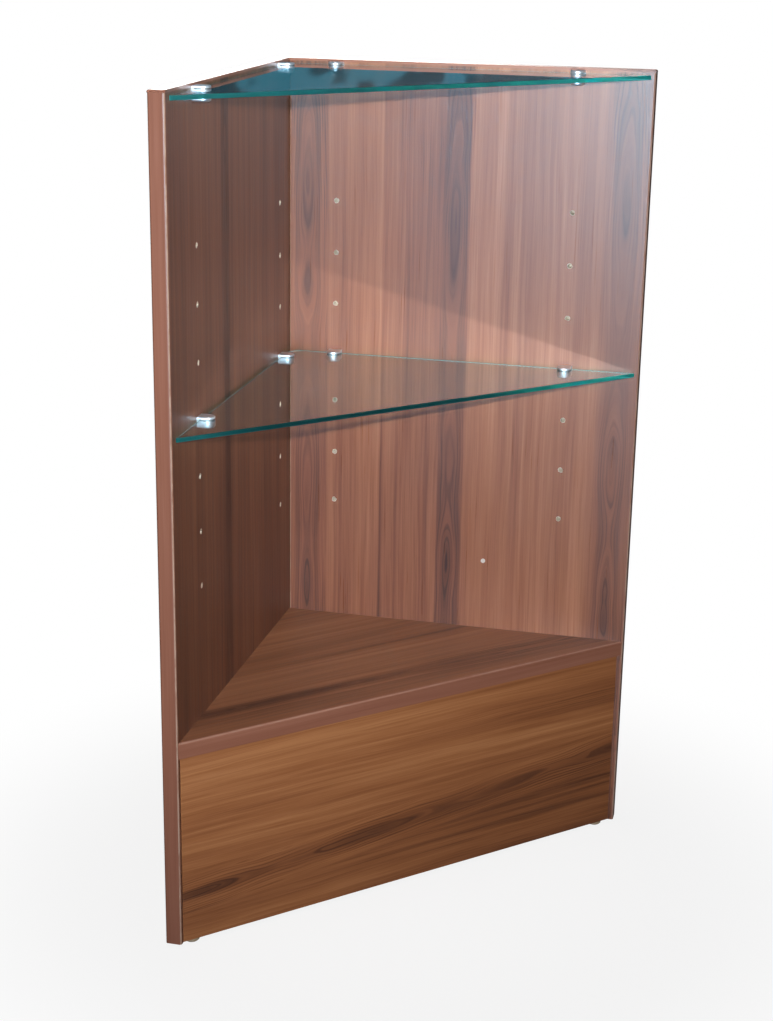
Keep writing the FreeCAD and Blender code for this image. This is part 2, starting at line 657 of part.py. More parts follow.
# Cam fittings: a bolt screwed in one board's face, and a cam in the next board that draws it in
def cam_bolt(name, direction, spot, backwards):
    x, y, z = spot
    shank_length = "dim.cam_setback - dim.bolt_head_length / 2"
    thread = rod(f"{name}_thread", backwards, spot,
                 "dim.bolt_thread_radius - dim.fit_gap", "dim.bolt_thread_length")
    shank = rod(f"{name}_shank", direction, spot, "dim.bolt_radius", shank_length)
    ahead = {"+X": (f"{x} + {shank_length}", y, z), "-Y": (x, f"{y} - ({shank_length})", z)}[direction]
    head = rod(f"{name}_head", direction, ahead, "dim.bolt_head_radius", "dim.bolt_head_length")
    return fuse(name, [thread, shank, head])


def cam(name, axis, spot, bolt_direction):
    # spot is the middle of the cam's inner end, and its cross recess is on the outer end
    x, y, z = spot
    disc = rod(f"{name}_disc", axis, spot, "dim.cam_radius - dim.fit_gap", "dim.cam_length")
    half_slot = "dim.cam_slot_length / 2"
    half_width = "dim.cam_slot_width / 2"
    if axis == "+Y":
        mouth = (f"{x} - dim.cam_radius - dim.overrun", wall_middle, z)
        low = f"{y} + dim.cam_length - dim.cam_slot_depth"
        depth = "dim.cam_slot_depth + dim.overrun"
        slots = [
            block(f"{name}_slot", (f"{x} - {half_slot}", low, f"{z} - {half_width}"),
                  "dim.cam_slot_length", depth, "dim.cam_slot_width"),
            block(f"{name}_cross", (f"{x} - {half_width}", low, f"{z} - {half_slot}"),
                  "dim.cam_slot_width", depth, "dim.cam_slot_length"),
        ]
    else:
        mouth_x = f"{x} - dim.cam_radius - dim.overrun" if bolt_direction == "+X" else x
        mouth_y = y if bolt_direction == "+X" else f"{y} + dim.cam_radius + dim.overrun"
        mouth = (mouth_x, mouth_y, deck_middle)
        low = f"{deck_bottom} - dim.overrun"
        depth = "dim.cam_slot_depth + dim.overrun"
        slots = [
            block(f"{name}_slot", (f"{x} - {half_slot}", f"{y} - {half_width}", low),
                  "dim.cam_slot_length", "dim.cam_slot_width", depth),
            block(f"{name}_cross", (f"{x} - {half_width}", f"{y} - {half_slot}", low),
                  "dim.cam_slot_width", "dim.cam_slot_length", depth),
        ]
    bore_length = "dim.cam_radius + dim.overrun + dim.bolt_bore_radius"
    bore = rod(f"{name}_bore", bolt_direction, mouth, "dim.bolt_bore_radius", bore_length)
    return cut(name, disc, fuse(f"{name}_cuts", [bore, *slots]))


corner_bolts = []
corner_cams = []
for index, height in enumerate(corner_bolt_heights, start=1):
    corner_bolts.append(cam_bolt(f"corner_bolt_{index}", "+X", ("0", wall_middle, height), "-X"))
    corner_cams.append(cam(f"corner_cam_{index}", "+Y",
                           ("dim.cam_setback", "dim.board - dim.cam_length", height), "+X"))
group("corner_cam_bolts", corner_bolts)
group("corner_cams", corner_cams)

deck_bolts = []
deck_cams = []
deck_dowels = []
for wall in ("left", "right"):
    for index, reach in enumerate(deck_bolt_reaches, start=1):
        foot = from_wall(wall, reach, "0", deck_middle)
        deck_bolts.append(cam_bolt(f"deck_{wall}_bolt_{index}", out_of_wall[wall], foot, into_wall[wall]))
        seat = from_wall(wall, reach, "dim.cam_setback", deck_bottom)
        deck_cams.append(cam(f"deck_{wall}_cam_{index}", "+Z", seat, out_of_wall[wall]))
group("deck_cam_bolts", deck_bolts)
group("deck_cams", deck_cams)


# Dowels: each stands on the floor of one hole and ends a little before the floor of the other
def dowel(name, direction, spot):
    length = "dim.dowel_in_face + dim.dowel_in_edge - dim.dowel_slack"
    return rod(name, direction, spot, "dim.dowel_radius - dim.fit_gap", length)


corner_dowels = [dowel(f"corner_dowel_{index}", "+X", ("-dim.dowel_in_face", wall_middle, height))
                 for index, height in enumerate(corner_dowel_heights, start=1)]
group("corner_dowels", corner_dowels)
for wall in ("left", "right"):
    for index, reach in enumerate(deck_dowel_reaches, start=1):
        spot = from_wall(wall, reach, "-dim.dowel_in_face", deck_middle)
        deck_dowels.append(dowel(f"deck_{wall}_dowel_{index}", out_of_wall[wall], spot))
group("deck_dowels", deck_dowels)
kick_dowels = [dowel(f"kick_dowel_{index}", "+Z", (x, y, f"{deck_bottom} - dim.dowel_in_edge"))
               for index, (x, y) in enumerate(kick_dowel_spots, start=1)]
group("kick_dowels", kick_dowels)


# Kick brackets: bent strips in the sharp corners between the walls and the kick board
def mirrored(point):
    # The two walls are alike on either side of the cabinet's diagonal
    x, y = point
    return (f"-({y})", f"-({x})")


def kick_bracket(name, wall):
    slant = "sqrt(2)"
    leg_x = f"(dim.bracket_leg / {slant})"
    leg_y = f"(dim.bracket_leg / {slant} - {kick_back_leg})"
    points = [
        ("0", f"-{kick_back_leg}"),
        (leg_x, leg_y),
        (f"{leg_x} - dim.bracket_sheet / {slant}", f"{leg_y} + dim.bracket_sheet / {slant}"),
        ("dim.bracket_sheet", f"dim.bracket_sheet * (1 + {slant}) - {kick_back_leg}"),
        ("dim.bracket_sheet", f"dim.bracket_leg - {kick_back_leg}"),
        ("0", f"dim.bracket_leg - {kick_back_leg}"),
    ]
    if wall == "right":
        points = [mirrored(point) for point in points]
    body = slab(f"{name}_body", points, "dim.bracket_height", "dim.bracket_width")
    spots = [(on_wall(wall, bracket_along), height) for height in bracket_screw_heights]
    drill(body, f"{name}_wall_holes", wall_planes[wall], spots,
          "dim.screw_radius + dim.fit_gap", "dim.bracket_sheet", back=True)
    slanted = kick_back_sketch(body, f"{name}_kick_holes")
    draw_circles(slanted, [(bracket_screw_reaches[wall], height) for height in bracket_screw_heights],
                 "dim.screw_radius + dim.fit_gap")
    pocket(body, slanted, "dim.bracket_sheet")
    return corner_node(body, name)


kick_bracket("left_kick_bracket", "left")
kick_bracket("right_kick_bracket", "right")


def bracket_screw(name, direction, seat, head):
    # seat is where the screw's axis enters the bracket, and head is where its head begins
    shank = rod(f"{name}_shank", direction, seat, "dim.screw_radius", "dim.screw_length")
    crown = rod(f"{name}_crown", direction, head, "dim.screw_head_radius", "dim.screw_head_height")
    return fuse(name, [shank, crown])


def behind_kick(along, out, height):
    # A place given along the kick board's back face from its left end, and out behind it
    return (f"({along} - {out}) / sqrt(2)", f"({along} + {out}) / sqrt(2) - {kick_back_leg}", height)


head_out = "(dim.bracket_sheet + dim.screw_head_height)"
bracket_screws = []
for wall in ("left", "right"):
    reach = bracket_screw_reaches[wall]
    for index, height in enumerate(bracket_screw_heights, start=1):
        seat = from_wall(wall, bracket_along, "dim.bracket_sheet", height)
        head = from_wall(wall, bracket_along, head_out, height)
        bracket_screws.append(bracket_screw(f"{wall}_wall_screw_{index}", into_wall[wall], seat, head))
        seat = behind_kick(reach, "dim.bracket_sheet", height)
        head = behind_kick(reach, head_out, height)
        bracket_screws.append(bracket_screw(f"{wall}_kick_screw_{index}", "front", seat, head))
group("kick_bracket_screws", bracket_screws)


# Glides: round feet with a nail, under both front corners and the inner corner
def glide(name, spot):
    body = new_body(f"{name}_body")
    profile = new_sketch(body, f"{name}_profile", "XZ_Plane")
    draw_outline(profile, [
        ("0", "0"),
        ("dim.glide_radius - dim.glide_round", "0"),
        ("dim.glide_radius", "dim.glide_round"),
        ("dim.glide_radius", "dim.glide_height"),
        ("dim.nail_radius - dim.fit_gap", "dim.glide_height"),
        ("dim.nail_radius - dim.fit_gap", "dim.glide_height + dim.nail_length - dim.nail_radius"),
        ("0", "dim.glide_height + dim.nail_length - dim.fit_gap"),
    ])
    turned = body.newObject("PartDesign::Revolution", f"{name}_turned")
    turned.Profile = profile
    turned.ReferenceAxis = (profile, ["V_Axis"])
    turned.Angle = 360
    body.Tip = turned
    x, y, z = spot
    place(body, f"{corner_x} + {x}", f"{corner_y} + {y}", z)
    return node(body, name)


for name, spot in glide_spots.items():
    glide(name, spot)

# Small cap that closes the wall fixing hole in the right wall
cap_spot = ("dim.cap_reach", "0", cap_height_above_floor)
cap_front = ("dim.cap_reach", "-dim.cap_height", cap_height_above_floor)
cap = fuse("wall_cap", [
    rod("wall_cap_disc", "+Y", cap_front, "dim.cap_radius", "dim.cap_height"),
    rod("wall_cap_stem", "+Y", cap_spot, "dim.cap_stem_radius", "dim.cap_stem_length"),
])
corner_node(cap, "wall_fixing_cap")

doc.recompute()

for item in doc.Objects:
    if "Invalid" in item.State or "Error" in item.State:
        raise RuntimeError(f"{item.Label} did not build: {item.State}")
for item in nodes:
    if item.Shape.isNull() or not item.Shape.isValid():
        raise RuntimeError(f"{item.Label} has no valid shape")

os.makedirs("parts", exist_ok=True)
for item in nodes:
    item.Shape.exportStep(f"parts/{item.Label}.step")
    box = item.Shape.BoundBox
    print(f"{item.Label}: {len(item.Shape.Solids)} solids, {item.Shape.Volume / 1000:.2f} cm3, "
          f"x {box.XMin:.1f} to {box.XMax:.1f}, y {box.YMin:.1f} to {box.YMax:.1f}, "
          f"z {box.ZMin:.1f} to {box.ZMax:.1f}")
print(f"{len(nodes)} nodes written")
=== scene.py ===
import math
import bmesh
import bpy
from mathutils import Matrix, Vector


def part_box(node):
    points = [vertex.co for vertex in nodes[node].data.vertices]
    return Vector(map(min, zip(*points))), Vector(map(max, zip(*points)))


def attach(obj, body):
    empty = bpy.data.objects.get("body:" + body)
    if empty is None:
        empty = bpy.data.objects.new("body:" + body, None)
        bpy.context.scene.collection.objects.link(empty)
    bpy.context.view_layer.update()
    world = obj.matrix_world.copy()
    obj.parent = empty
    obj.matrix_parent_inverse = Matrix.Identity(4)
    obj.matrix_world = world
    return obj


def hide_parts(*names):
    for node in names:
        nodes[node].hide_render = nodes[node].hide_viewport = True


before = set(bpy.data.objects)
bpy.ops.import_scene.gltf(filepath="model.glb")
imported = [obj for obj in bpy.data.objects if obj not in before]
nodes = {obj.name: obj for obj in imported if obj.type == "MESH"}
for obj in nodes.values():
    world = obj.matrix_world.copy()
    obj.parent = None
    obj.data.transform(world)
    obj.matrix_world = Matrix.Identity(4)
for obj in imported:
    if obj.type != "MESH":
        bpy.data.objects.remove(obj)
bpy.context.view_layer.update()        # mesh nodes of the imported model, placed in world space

scene = bpy.context.scene
scene.view_settings.view_transform = "Standard"

diagonal = Vector((1, 1, 0)).normalized()       # along the diagonal front, towards the right wall
outward = Vector((1, -1, 0)).normalized()       # from the inner corner out through the front
hairline = 1e-6                                 # metres, within which two places count as one


# Small helpers for building node trees
def addNode(tree, kind, settings=None, inputs=None):
    node = tree.nodes.new(kind)
    for name, value in (settings or {}).items():
        setattr(node, name, value)
    for name, value in (inputs or {}).items():
        feed(tree, node.inputs[name], value)
    return node


def feed(tree, socket, value):
    if isinstance(value, bpy.types.NodeSocket):
        tree.links.new(value, socket)
    else:
        socket.default_value = value


def maths(tree, operation, *values, clamp=False):
    node = addNode(tree, "ShaderNodeMath", {"operation": operation, "use_clamp": clamp})
    for socket, value in zip(node.inputs, values):
        feed(tree, socket, value)
    return node.outputs[0]


def plus(tree, first, second):
    return maths(tree, "ADD", first, second)


def minus(tree, first, second):
    return maths(tree, "SUBTRACT", first, second)


def times(tree, first, second):
    return maths(tree, "MULTIPLY", first, second)


def timesPlus(tree, value, factor, rest):
    return maths(tree, "MULTIPLY_ADD", value, factor, rest)


def centred(tree, value):
    # Noise and ramps run from 0 to 1, so a half is their middle
    return minus(tree, value, 0.5)


def dot(tree, vector, direction):
    node = addNode(tree, "ShaderNodeVectorMath", {"operation": "DOT_PRODUCT"})
    feed(tree, node.inputs[0], vector)
    node.inputs[1].default_value = direction
    return node.outputs["Value"]


def smooth(tree, value, low, high, newLow=0.0, newHigh=1.0):
    node = addNode(tree, "ShaderNodeMapRange", {"interpolation_type": "SMOOTHSTEP"},
                   {"Value": value, "From Min": low, "From Max": high, "To Min": newLow, "To Max": newHigh})
    return node.outputs["Result"]


def mixed(tree, kind, factor, first, second, blend="MIX"):
    node = addNode(tree, "ShaderNodeMix", {"data_type": kind, "blend_type": blend})
    feed(tree, node.inputs["Factor"], factor)
    feed(tree, node.inputs["A"], first)
    feed(tree, node.inputs["B"], second)
    return node.outputs["Result"]


def mixColour(tree, factor, first, second, blend="MIX"):
    return mixed(tree, "RGBA", factor, first, second, blend)


def mixValue(tree, factor, first, second):
    return mixed(tree, "FLOAT", factor, first, second)


def noise(tree, vector, scale=1.0, detail=2.0, roughness=0.5, distortion=0.0):
    node = addNode(tree, "ShaderNodeTexNoise", {"noise_dimensions": "3D"},
                   {"Vector": vector, "Scale": scale, "Detail": detail,
                    "Roughness": roughness, "Distortion": distortion})
    return node.outputs["Fac"]


def stretched(tree, along, across, depth, alongScale, acrossScale):
    node = addNode(tree, "ShaderNodeCombineXYZ")
    feed(tree, node.inputs["X"], times(tree, along, alongScale))
    feed(tree, node.inputs["Y"], times(tree, across, acrossScale))
    feed(tree, node.inputs["Z"], depth)
    return node.outputs["Vector"]


def ramp(tree, value, stops, interpolation="LINEAR"):
    node = addNode(tree, "ShaderNodeValToRGB", inputs={"Fac": value})
    elements = node.color_ramp.elements
    node.color_ramp.interpolation = interpolation
    while len(elements) > 1:
        elements.remove(elements[-1])
    for index, (position, colour) in enumerate(stops):
        element = elements[0] if index == 0 else elements.new(position)
        element.position = position
        element.color = (*colour, 1.0) if isinstance(colour, tuple) else (colour, colour, colour, 1.0)
    return node.outputs["Color"]


def newGroup(name, inputs, outputs):
    group = bpy.data.node_groups.new(name, "ShaderNodeTree")
    kinds = {"value": "NodeSocketFloat", "colour": "NodeSocketColor", "vector": "NodeSocketVector"}
    for label, kind in inputs.items():
        group.interface.new_socket(name=label, in_out="INPUT", socket_type=kinds[kind])
    for label, kind in outputs.items():
        group.interface.new_socket(name=label, in_out="OUTPUT", socket_type=kinds[kind])
    source = group.nodes.new("NodeGroupInput")
    result = group.nodes.new("NodeGroupOutput")
    return group, source.outputs, result.inputs


def useGroup(tree, group, **inputs):
    node = addNode(tree, "ShaderNodeGroup", {"node_tree": group})
    for name, value in inputs.items():
        feed(tree, node.inputs[name], value)
    return node.outputs


def newMaterial(name, **constants):
    material = bpy.data.materials.new(name)
    material.use_nodes = True
    tree = material.node_tree
    shader = tree.nodes["Principled BSDF"]
    for label, value in constants.items():
        shader.inputs[label].default_value = value
    return material, tree, shader


def place(tree):
    return addNode(tree, "ShaderNodeTexCoord").outputs["Object"]


def bump(tree, shader, height, strength, distance):
    node = addNode(tree, "ShaderNodeBump", inputs={
        "Height": height, "Strength": strength, "Distance": distance})
    tree.links.new(node.outputs["Normal"], shader.inputs["Normal"])


# The grain's patterns are given in cells to the metre, along the grain and across it
wobbleLook = {"slow": (2.2, 9.0), "quick": (11.0, 40.0), "quickShare": 0.22}


def makeWobbleGroup():
    # Slow bends of the grain, so that no line of it runs quite straight
    group, take, give = newGroup(
        "grainWobble", {"Along": "value", "Across": "value", "Seed": "value", "Amount": "value"},
        {"Field": "value"})
    along, across, seed = take["Along"], take["Across"], take["Seed"]
    slow = noise(group, stretched(group, along, across, seed, *wobbleLook["slow"]), detail=1.0)
    quick = noise(group, stretched(group, along, across, seed, *wobbleLook["quick"]), detail=2.0)
    shift = plus(group, centred(group, slow), times(group, centred(group, quick), wobbleLook["quickShare"]))
    group.links.new(timesPlus(group, shift, take["Amount"], across), give["Field"])
    return group


def makeArchGroup():
    # Flat-sawn figure: lines mirrored about an axis, which close into arches and eyes where the rise dips
    blunt = 1.5e-6       # square metres, which round off the arches' tips
    group, take, give = newGroup(
        "archFigure",
        {"Along": "value", "Across": "value", "Axis": "value", "Lean": "value", "Rise": "value",
         "Below": "value", "Above": "value", "Edge": "value"},
        {"Field": "value", "Zone": "value"})
    axis = timesPlus(group, take["Along"], take["Lean"], take["Axis"])
    side = minus(group, take["Across"], axis)
    rise = take["Rise"]
    apart = timesPlus(group, side, side, timesPlus(group, rise, rise, blunt))
    group.links.new(maths(group, "SQRT", apart), give["Field"])
    low = times(group, take["Below"], -1.0)
    fromLow = smooth(group, side, minus(group, low, take["Edge"]), low)
    pastHigh = smooth(group, side, take["Above"], plus(group, take["Above"], take["Edge"]))
    group.links.new(times(group, fromLow, minus(group, 1.0, pastHigh)), give["Zone"])
    return group


grainLook = {
    "bands": (1.6, 34.0), "bandTone": 0.30, "streaks": (2.6, 150.0), "streakTone": 0.34,
    "lines": (9.0, 620.0), "lineTone": 0.20, "pores": (60.0, 1500.0), "poreStart": 0.58, "poreFull": 0.72,
}


def makeGrainGroup():
    # Bands, streaks and fine lines that follow the field, and short dark pores
    look = grainLook
    group, take, give = newGroup("cherryGrain", {"Along": "value", "Field": "value", "Seed": "value"},
                                 {"Tone": "value", "Lines": "value", "Pores": "value"})
    along, field, seed = take["Along"], take["Field"], take["Seed"]
    bands = noise(group, stretched(group, along, field, seed, *look["bands"]), detail=2.0)
    streaks = stretched(group, along, field, seed, *look["streaks"])
    streaks = noise(group, streaks, detail=3.0, roughness=0.6)
    lines = noise(group, stretched(group, along, field, seed, *look["lines"]), detail=2.0)
    pores = noise(group, stretched(group, along, field, seed, *look["pores"]), detail=1.0)
    tone = times(group, centred(group, bands), look["bandTone"])
    tone = timesPlus(group, centred(group, streaks), look["streakTone"], tone)
    tone = timesPlus(group, centred(group, lines), look["lineTone"], tone)
    group.links.new(tone, give["Tone"])
    group.links.new(lines, give["Lines"])
    group.links.new(smooth(group, pores, look["poreStart"], look["poreFull"]), give["Pores"])
    return group


growthLook = {"stray": (7.0, 60.0), "sway": 3.2, "lineStart": 0.1,
              "breaks": (5.0, 55.0), "breakStart": 0.34, "breakFull": 0.62}


def makeGrowthGroup():
    # Thin dark growth lines at an even step, broken up along their length
    look = growthLook
    group, take, give = newGroup(
        "growthLines", {"Along": "value", "Field": "value", "Seed": "value", "Step": "value"},
        {"Mask": "value"})
    along, field, seed = take["Along"], take["Field"], take["Seed"]
    stray = noise(group, stretched(group, along, field, seed, *look["stray"]), detail=2.0)
    phase = timesPlus(group, stray, look["sway"], maths(group, "DIVIDE", field, take["Step"]))
    wave = maths(group, "COSINE", times(group, phase, math.tau))
    broken = noise(group, stretched(group, along, field, seed, *look["breaks"]), detail=1.0)
    mask = times(group, smooth(group, wave, look["lineStart"], 1.0),
                 smooth(group, broken, look["breakStart"], look["breakFull"]))
    group.links.new(mask, give["Mask"])
    return group


chipLook = {
    "chipScale": 620.0, "chipShare": 0.5, "dustScale": 900.0, "dustShare": 0.7,
    "tones": [(0.15, (0.44, 0.36, 0.26)), (0.45, (0.66, 0.58, 0.46)), (0.8, (0.82, 0.76, 0.66))],
}


def makeChipGroup():
    # Pressed wood particles, as a cut or drilled board shows them
    look = chipLook
    group, take, give = newGroup("pressedChips", {"Place": "vector"},
                                 {"Colour": "colour", "Height": "value"})
    chips = addNode(group, "ShaderNodeTexVoronoi", {"feature": "F1"},
                    {"Vector": take["Place"], "Scale": look["chipScale"]})
    dust = noise(group, take["Place"], look["dustScale"], detail=3.0, roughness=0.6)
    tone = times(group, dust, look["dustShare"])
    tone = timesPlus(group, chips.outputs["Distance"], look["chipShare"], tone)
    group.links.new(ramp(group, tone, look["tones"]), give["Colour"])
    group.links.new(tone, give["Height"])
    return group


holeRows = {"lowest": 0.412, "pitch": 0.064, "last": 6, "ragged": 0.0022, "raggedScale": 420.0}


def makeRimGroup():
    # Drilling chips the paper round the mouths of the shelf holes, at the two columns of a wall
    group, take, give = newGroup(
        "chippedRims",
        {"Place": "vector", "Across": "value", "Height": "value", "Back": "value", "Front": "value",
         "Rim": "value"},
        {"Mask": "value"})
    fromBack, fromFront = [maths(group, "ABSOLUTE", minus(group, take["Across"], take[column]))
                           for column in ("Back", "Front")]
    aside = maths(group, "MINIMUM", fromBack, fromFront)
    rows = maths(group, "DIVIDE", minus(group, take["Height"], holeRows["lowest"]), holeRows["pitch"])
    nearest = maths(group, "MAXIMUM", maths(group, "ROUND", rows), 0.0)
    nearest = maths(group, "MINIMUM", nearest, holeRows["last"])
    above = times(group, minus(group, rows, nearest), holeRows["pitch"])
    apart = maths(group, "SQRT", timesPlus(group, aside, aside, times(group, above, above)))
    ragged = centred(group, noise(group, take["Place"], holeRows["raggedScale"], detail=2.0))
    reach = timesPlus(group, ragged, holeRows["ragged"], take["Rim"])
    group.links.new(maths(group, "LESS_THAN", apart, reach), give["Mask"])
    return group


smudgeLook = {"scale": 14.0, "start": 0.45, "full": 0.72}


def makeSmudgeGroup():
    # Faint handling marks that only change how sharp a reflection is
    group, take, give = newGroup("handlingMarks", {"Place": "vector", "Low": "value", "High": "value"},
                                 {"Roughness": "value"})
    patches = noise(group, take["Place"], smudgeLook["scale"], detail=4.0, roughness=0.65, distortion=0.4)
    mask = smooth(group, patches, smudgeLook["start"], smudgeLook["full"])
    group.links.new(mixValue(group, mask, take["Low"], take["High"]), give["Roughness"])
    return group


wobbleGroup = makeWobbleGroup()
archGroup = makeArchGroup()
grainGroup = makeGrainGroup()
growthGroup = makeGrowthGroup()
chipGroup = makeChipGroup()
rimGroup = makeRimGroup()
smudgeGroup = makeSmudgeGroup()
print("effects: wobble, arches, grain, growth lines, chips, hole rims and handling marks")


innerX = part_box("left_panel")[1].x
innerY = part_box("right_panel")[0].y
deckLow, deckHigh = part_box("deck_panel")
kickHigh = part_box("kick_board")[1]
boardThickness = deckHigh.z - deckLow.z
kickFace = (kickHigh.x - innerY) / math.sqrt(2)   # outward distance of the kick's front face

cherryTones = [
    (0.00, (0.050, 0.022, 0.017)),
    (0.25, (0.125, 0.052, 0.033)),
    (0.50, (0.250, 0.106, 0.060)),
    (0.72, (0.345, 0.158, 0.090)),
    (1.00, (0.460, 0.240, 0.150)),
]

# Staves give the tone across a board and drift the tone along it, both from 0 to 1. In a figure, the
# rise is given along the board from 0 to 1, and lines close round the places where it is low.
# The left wall's tint is darker than the right wall's, though both walls have one paper: painted shade on
# the wall that the camera lamp lights at a grazing angle
leftWall = {
    "along": (0, 0, 1), "across": (0, -1, 0), "depth": (-1, 0, 0), "tint": (0.78, 0.68, 0.61, 1.0),
    "holes": (0.041, 0.351), "rim": 0.0034,
    "acrossFrom": -innerY, "depthFrom": -innerX, "span": 0.46, "alongFrom": 0.0, "alongSpan": 0.965,
    "seed": 3.1, "wobble": 0.012, "contrast": 1.7, "heart": 0.07, "gloss": 0.45, "roughness": 0.42,
    "staves": [(0.0, 0.50), (0.10, 0.52), (0.105, 0.46), (0.24, 0.50), (0.42, 0.52), (0.52, 0.48),
               (0.527, 0.36), (0.58, 0.38), (0.59, 0.52), (0.80, 0.54), (0.93, 0.47), (1.0, 0.46)],
    "drift": [(0.0, 0.50), (1.0, 0.50)],
    "figures": [{"axis": 0.252, "lean": 0.0, "below": 0.012, "above": 0.014, "edge": 0.002, "depth": 0.012,
                 "rise": [(0.30, 0.6), (0.40, 0.1), (0.50, 0.3), (0.60, 0.9), (0.78, 0.2), (1.0, 1.0)]}],
}
rightWall = {
    "along": (0, 0, 1), "across": (1, 0, 0), "depth": (0, 1, 0), "tint": (1.03, 0.83, 0.65, 1.0),
    "holes": (0.060, 0.351), "rim": 0.0032,
    "acrossFrom": innerX, "depthFrom": innerY, "span": 0.46, "alongFrom": 0.0, "alongSpan": 0.965,
    "seed": 7.7, "wobble": 0.012, "contrast": 1.9, "heart": 0.09, "gloss": 0.50, "roughness": 0.34,
    "staves": [(0.0, 0.44), (0.107, 0.41), (0.112, 0.58), (0.258, 0.61), (0.261, 0.42), (0.264, 0.42),
               (0.268, 0.54), (0.42, 0.53), (0.428, 0.38), (0.493, 0.38), (0.497, 0.66), (0.62, 0.67),
               (0.72, 0.75), (0.84, 0.77), (0.862, 0.48), (0.955, 0.46)],
    "drift": [(0.0, 0.50), (1.0, 0.50)],
    "figures": [
        {"axis": 0.024, "lean": 0.0, "below": 0.030, "above": 0.025, "edge": 0.001, "depth": 0.014,
         "rise": [(0.24, 0.5), (0.305, 0.0), (0.37, 0.8), (0.45, 0.05), (0.56, 0.9), (0.66, 1.0),
                  (0.715, 0.05), (0.755, 0.8), (0.84, 0.0), (0.93, 0.8), (1.0, 1.0)]},
        {"axis": 0.209, "lean": 0.0, "below": 0.013, "above": 0.019, "edge": 0.001, "depth": 0.014,
         "rise": [(0.26, 0.5), (0.33, 0.2), (0.358, 0.0), (0.40, 0.55), (0.45, 0.8), (0.54, 0.45),
                  (0.60, 1.0), (0.72, 0.55), (0.80, 0.3), (0.87, 0.6), (1.0, 0.9)]},
        {"axis": 0.416, "lean": 0.0, "below": 0.021, "above": 0.040, "edge": 0.001, "depth": 0.015,
         "rise": [(0.25, 0.6), (0.289, 0.0), (0.315, 0.35), (0.338, 0.1), (0.40, 0.9), (0.506, 0.1),
                  (0.56, 0.7), (0.68, 1.0), (0.845, 0.1), (0.93, 0.7), (1.0, 0.9)]},
    ],
}
deckBoard = {
    "along": tuple(diagonal), "across": tuple(outward), "depth": (0, 0, -1), "tint": (1.0, 0.91, 0.76, 1.0),
    "acrossFrom": (innerX - innerY) / math.sqrt(2), "depthFrom": -deckHigh.z, "span": 0.32,
    "alongFrom": -0.32, "alongSpan": 0.64, "seed": 12.4, "wobble": 0.014, "contrast": 1.9, "heart": 0.09,
    "gloss": 0.45, "roughness": 0.40,
    "staves": [(0.0, 0.54), (0.20, 0.50), (0.22, 0.56), (0.45, 0.57), (0.50, 0.50), (0.62, 0.58),
               (0.76, 0.56), (0.80, 0.46), (0.93, 0.47), (0.96, 0.56)],
    "drift": [(0.0, 0.48), (0.5, 0.54), (1.0, 0.48)],
    "figures": [{"axis": 0.262, "lean": 0.02, "below": 0.016, "above": 0.022, "edge": 0.010, "depth": 0.013,
                 "rise": [(0.0, 0.4), (0.12, 0.1), (0.24, 0.7), (0.36, 0.0), (0.52, 0.8), (0.68, 0.2),
                          (0.82, 0.7), (1.0, 0.3)]}],
}
kickBoard = {
    "along": tuple(diagonal), "across": (0, 0, 1), "depth": tuple(-outward), "tint": (1.10, 0.92, 0.58, 1.0),
    "acrossFrom": 0.0, "depthFrom": -kickFace, "span": 0.24,
    "alongFrom": -0.32, "alongSpan": 0.64, "seed": 21.9, "wobble": 0.016, "contrast": 2.3, "heart": 0.16,
    "gloss": 0.35, "roughness": 0.44,
    "staves": [(0.02, 0.62), (0.14, 0.58), (0.22, 0.50), (0.36, 0.52), (0.44, 0.66), (0.50, 0.74),
               (0.62, 0.76), (0.72, 0.66), (0.78, 0.74), (0.90, 0.76), (1.0, 0.72)],
    "drift": [(0.0, 0.58), (0.35, 0.56), (0.60, 0.48), (1.0, 0.38)],
    "figures": [{"axis": 0.086, "lean": 0.074, "below": 0.020, "above": 0.018, "edge": 0.010, "depth": 0.015,
                 "rise": [(0.0, 0.3), (0.078, 0.0), (0.20, 0.7), (0.42, 0.05), (0.55, 0.8), (0.72, 0.3),
                          (0.85, 0.7), (0.95, 0.2)]}],
}
paperLook = {
    "index": 1.5, "thickness": 0.00025, "stray": (9.0, 45.0), "strayShare": 0.55,
    "growthStep": 0.0028, "growthTone": 0.09, "heartStart": 0.002, "heartEnd": 0.010, "poreTone": 0.05,
    "sheen": 0.30, "chipRoughness": 0.85, "pearlScale": 700.0, "pearlRelief": 0.35, "lineRelief": 0.3,
    "poreRelief": 0.4, "reliefStrength": 0.45, "reliefHeight": 0.0002,
}


def layFigures(tree, board, along, across, bent, run):
    # Gives where a board's figures lie, and the field that their grain follows there
    zone, field = 0.0, 0.0
    for figure in board["figures"]:
        cells = stretched(tree, along, across, board["seed"] + figure["axis"], *paperLook["stray"])
        stray = centred(tree, noise(tree, cells, detail=2.0))
        rise = ramp(tree, run, figure["rise"], "B_SPLINE")
        rise = plus(tree, rise, times(tree, stray, paperLook["strayShare"]))
        arch = useGroup(tree, archGroup, Along=along, Across=bent, Axis=figure["axis"], Lean=figure["lean"],
                        Rise=times(tree, rise, figure["depth"]), Below=figure["below"],
                        Above=figure["above"], Edge=figure["edge"])
        field = mixValue(tree, arch["Zone"], field, arch["Field"])
        zone = maths(tree, "MAXIMUM", zone, arch["Zone"])
    return zone, field


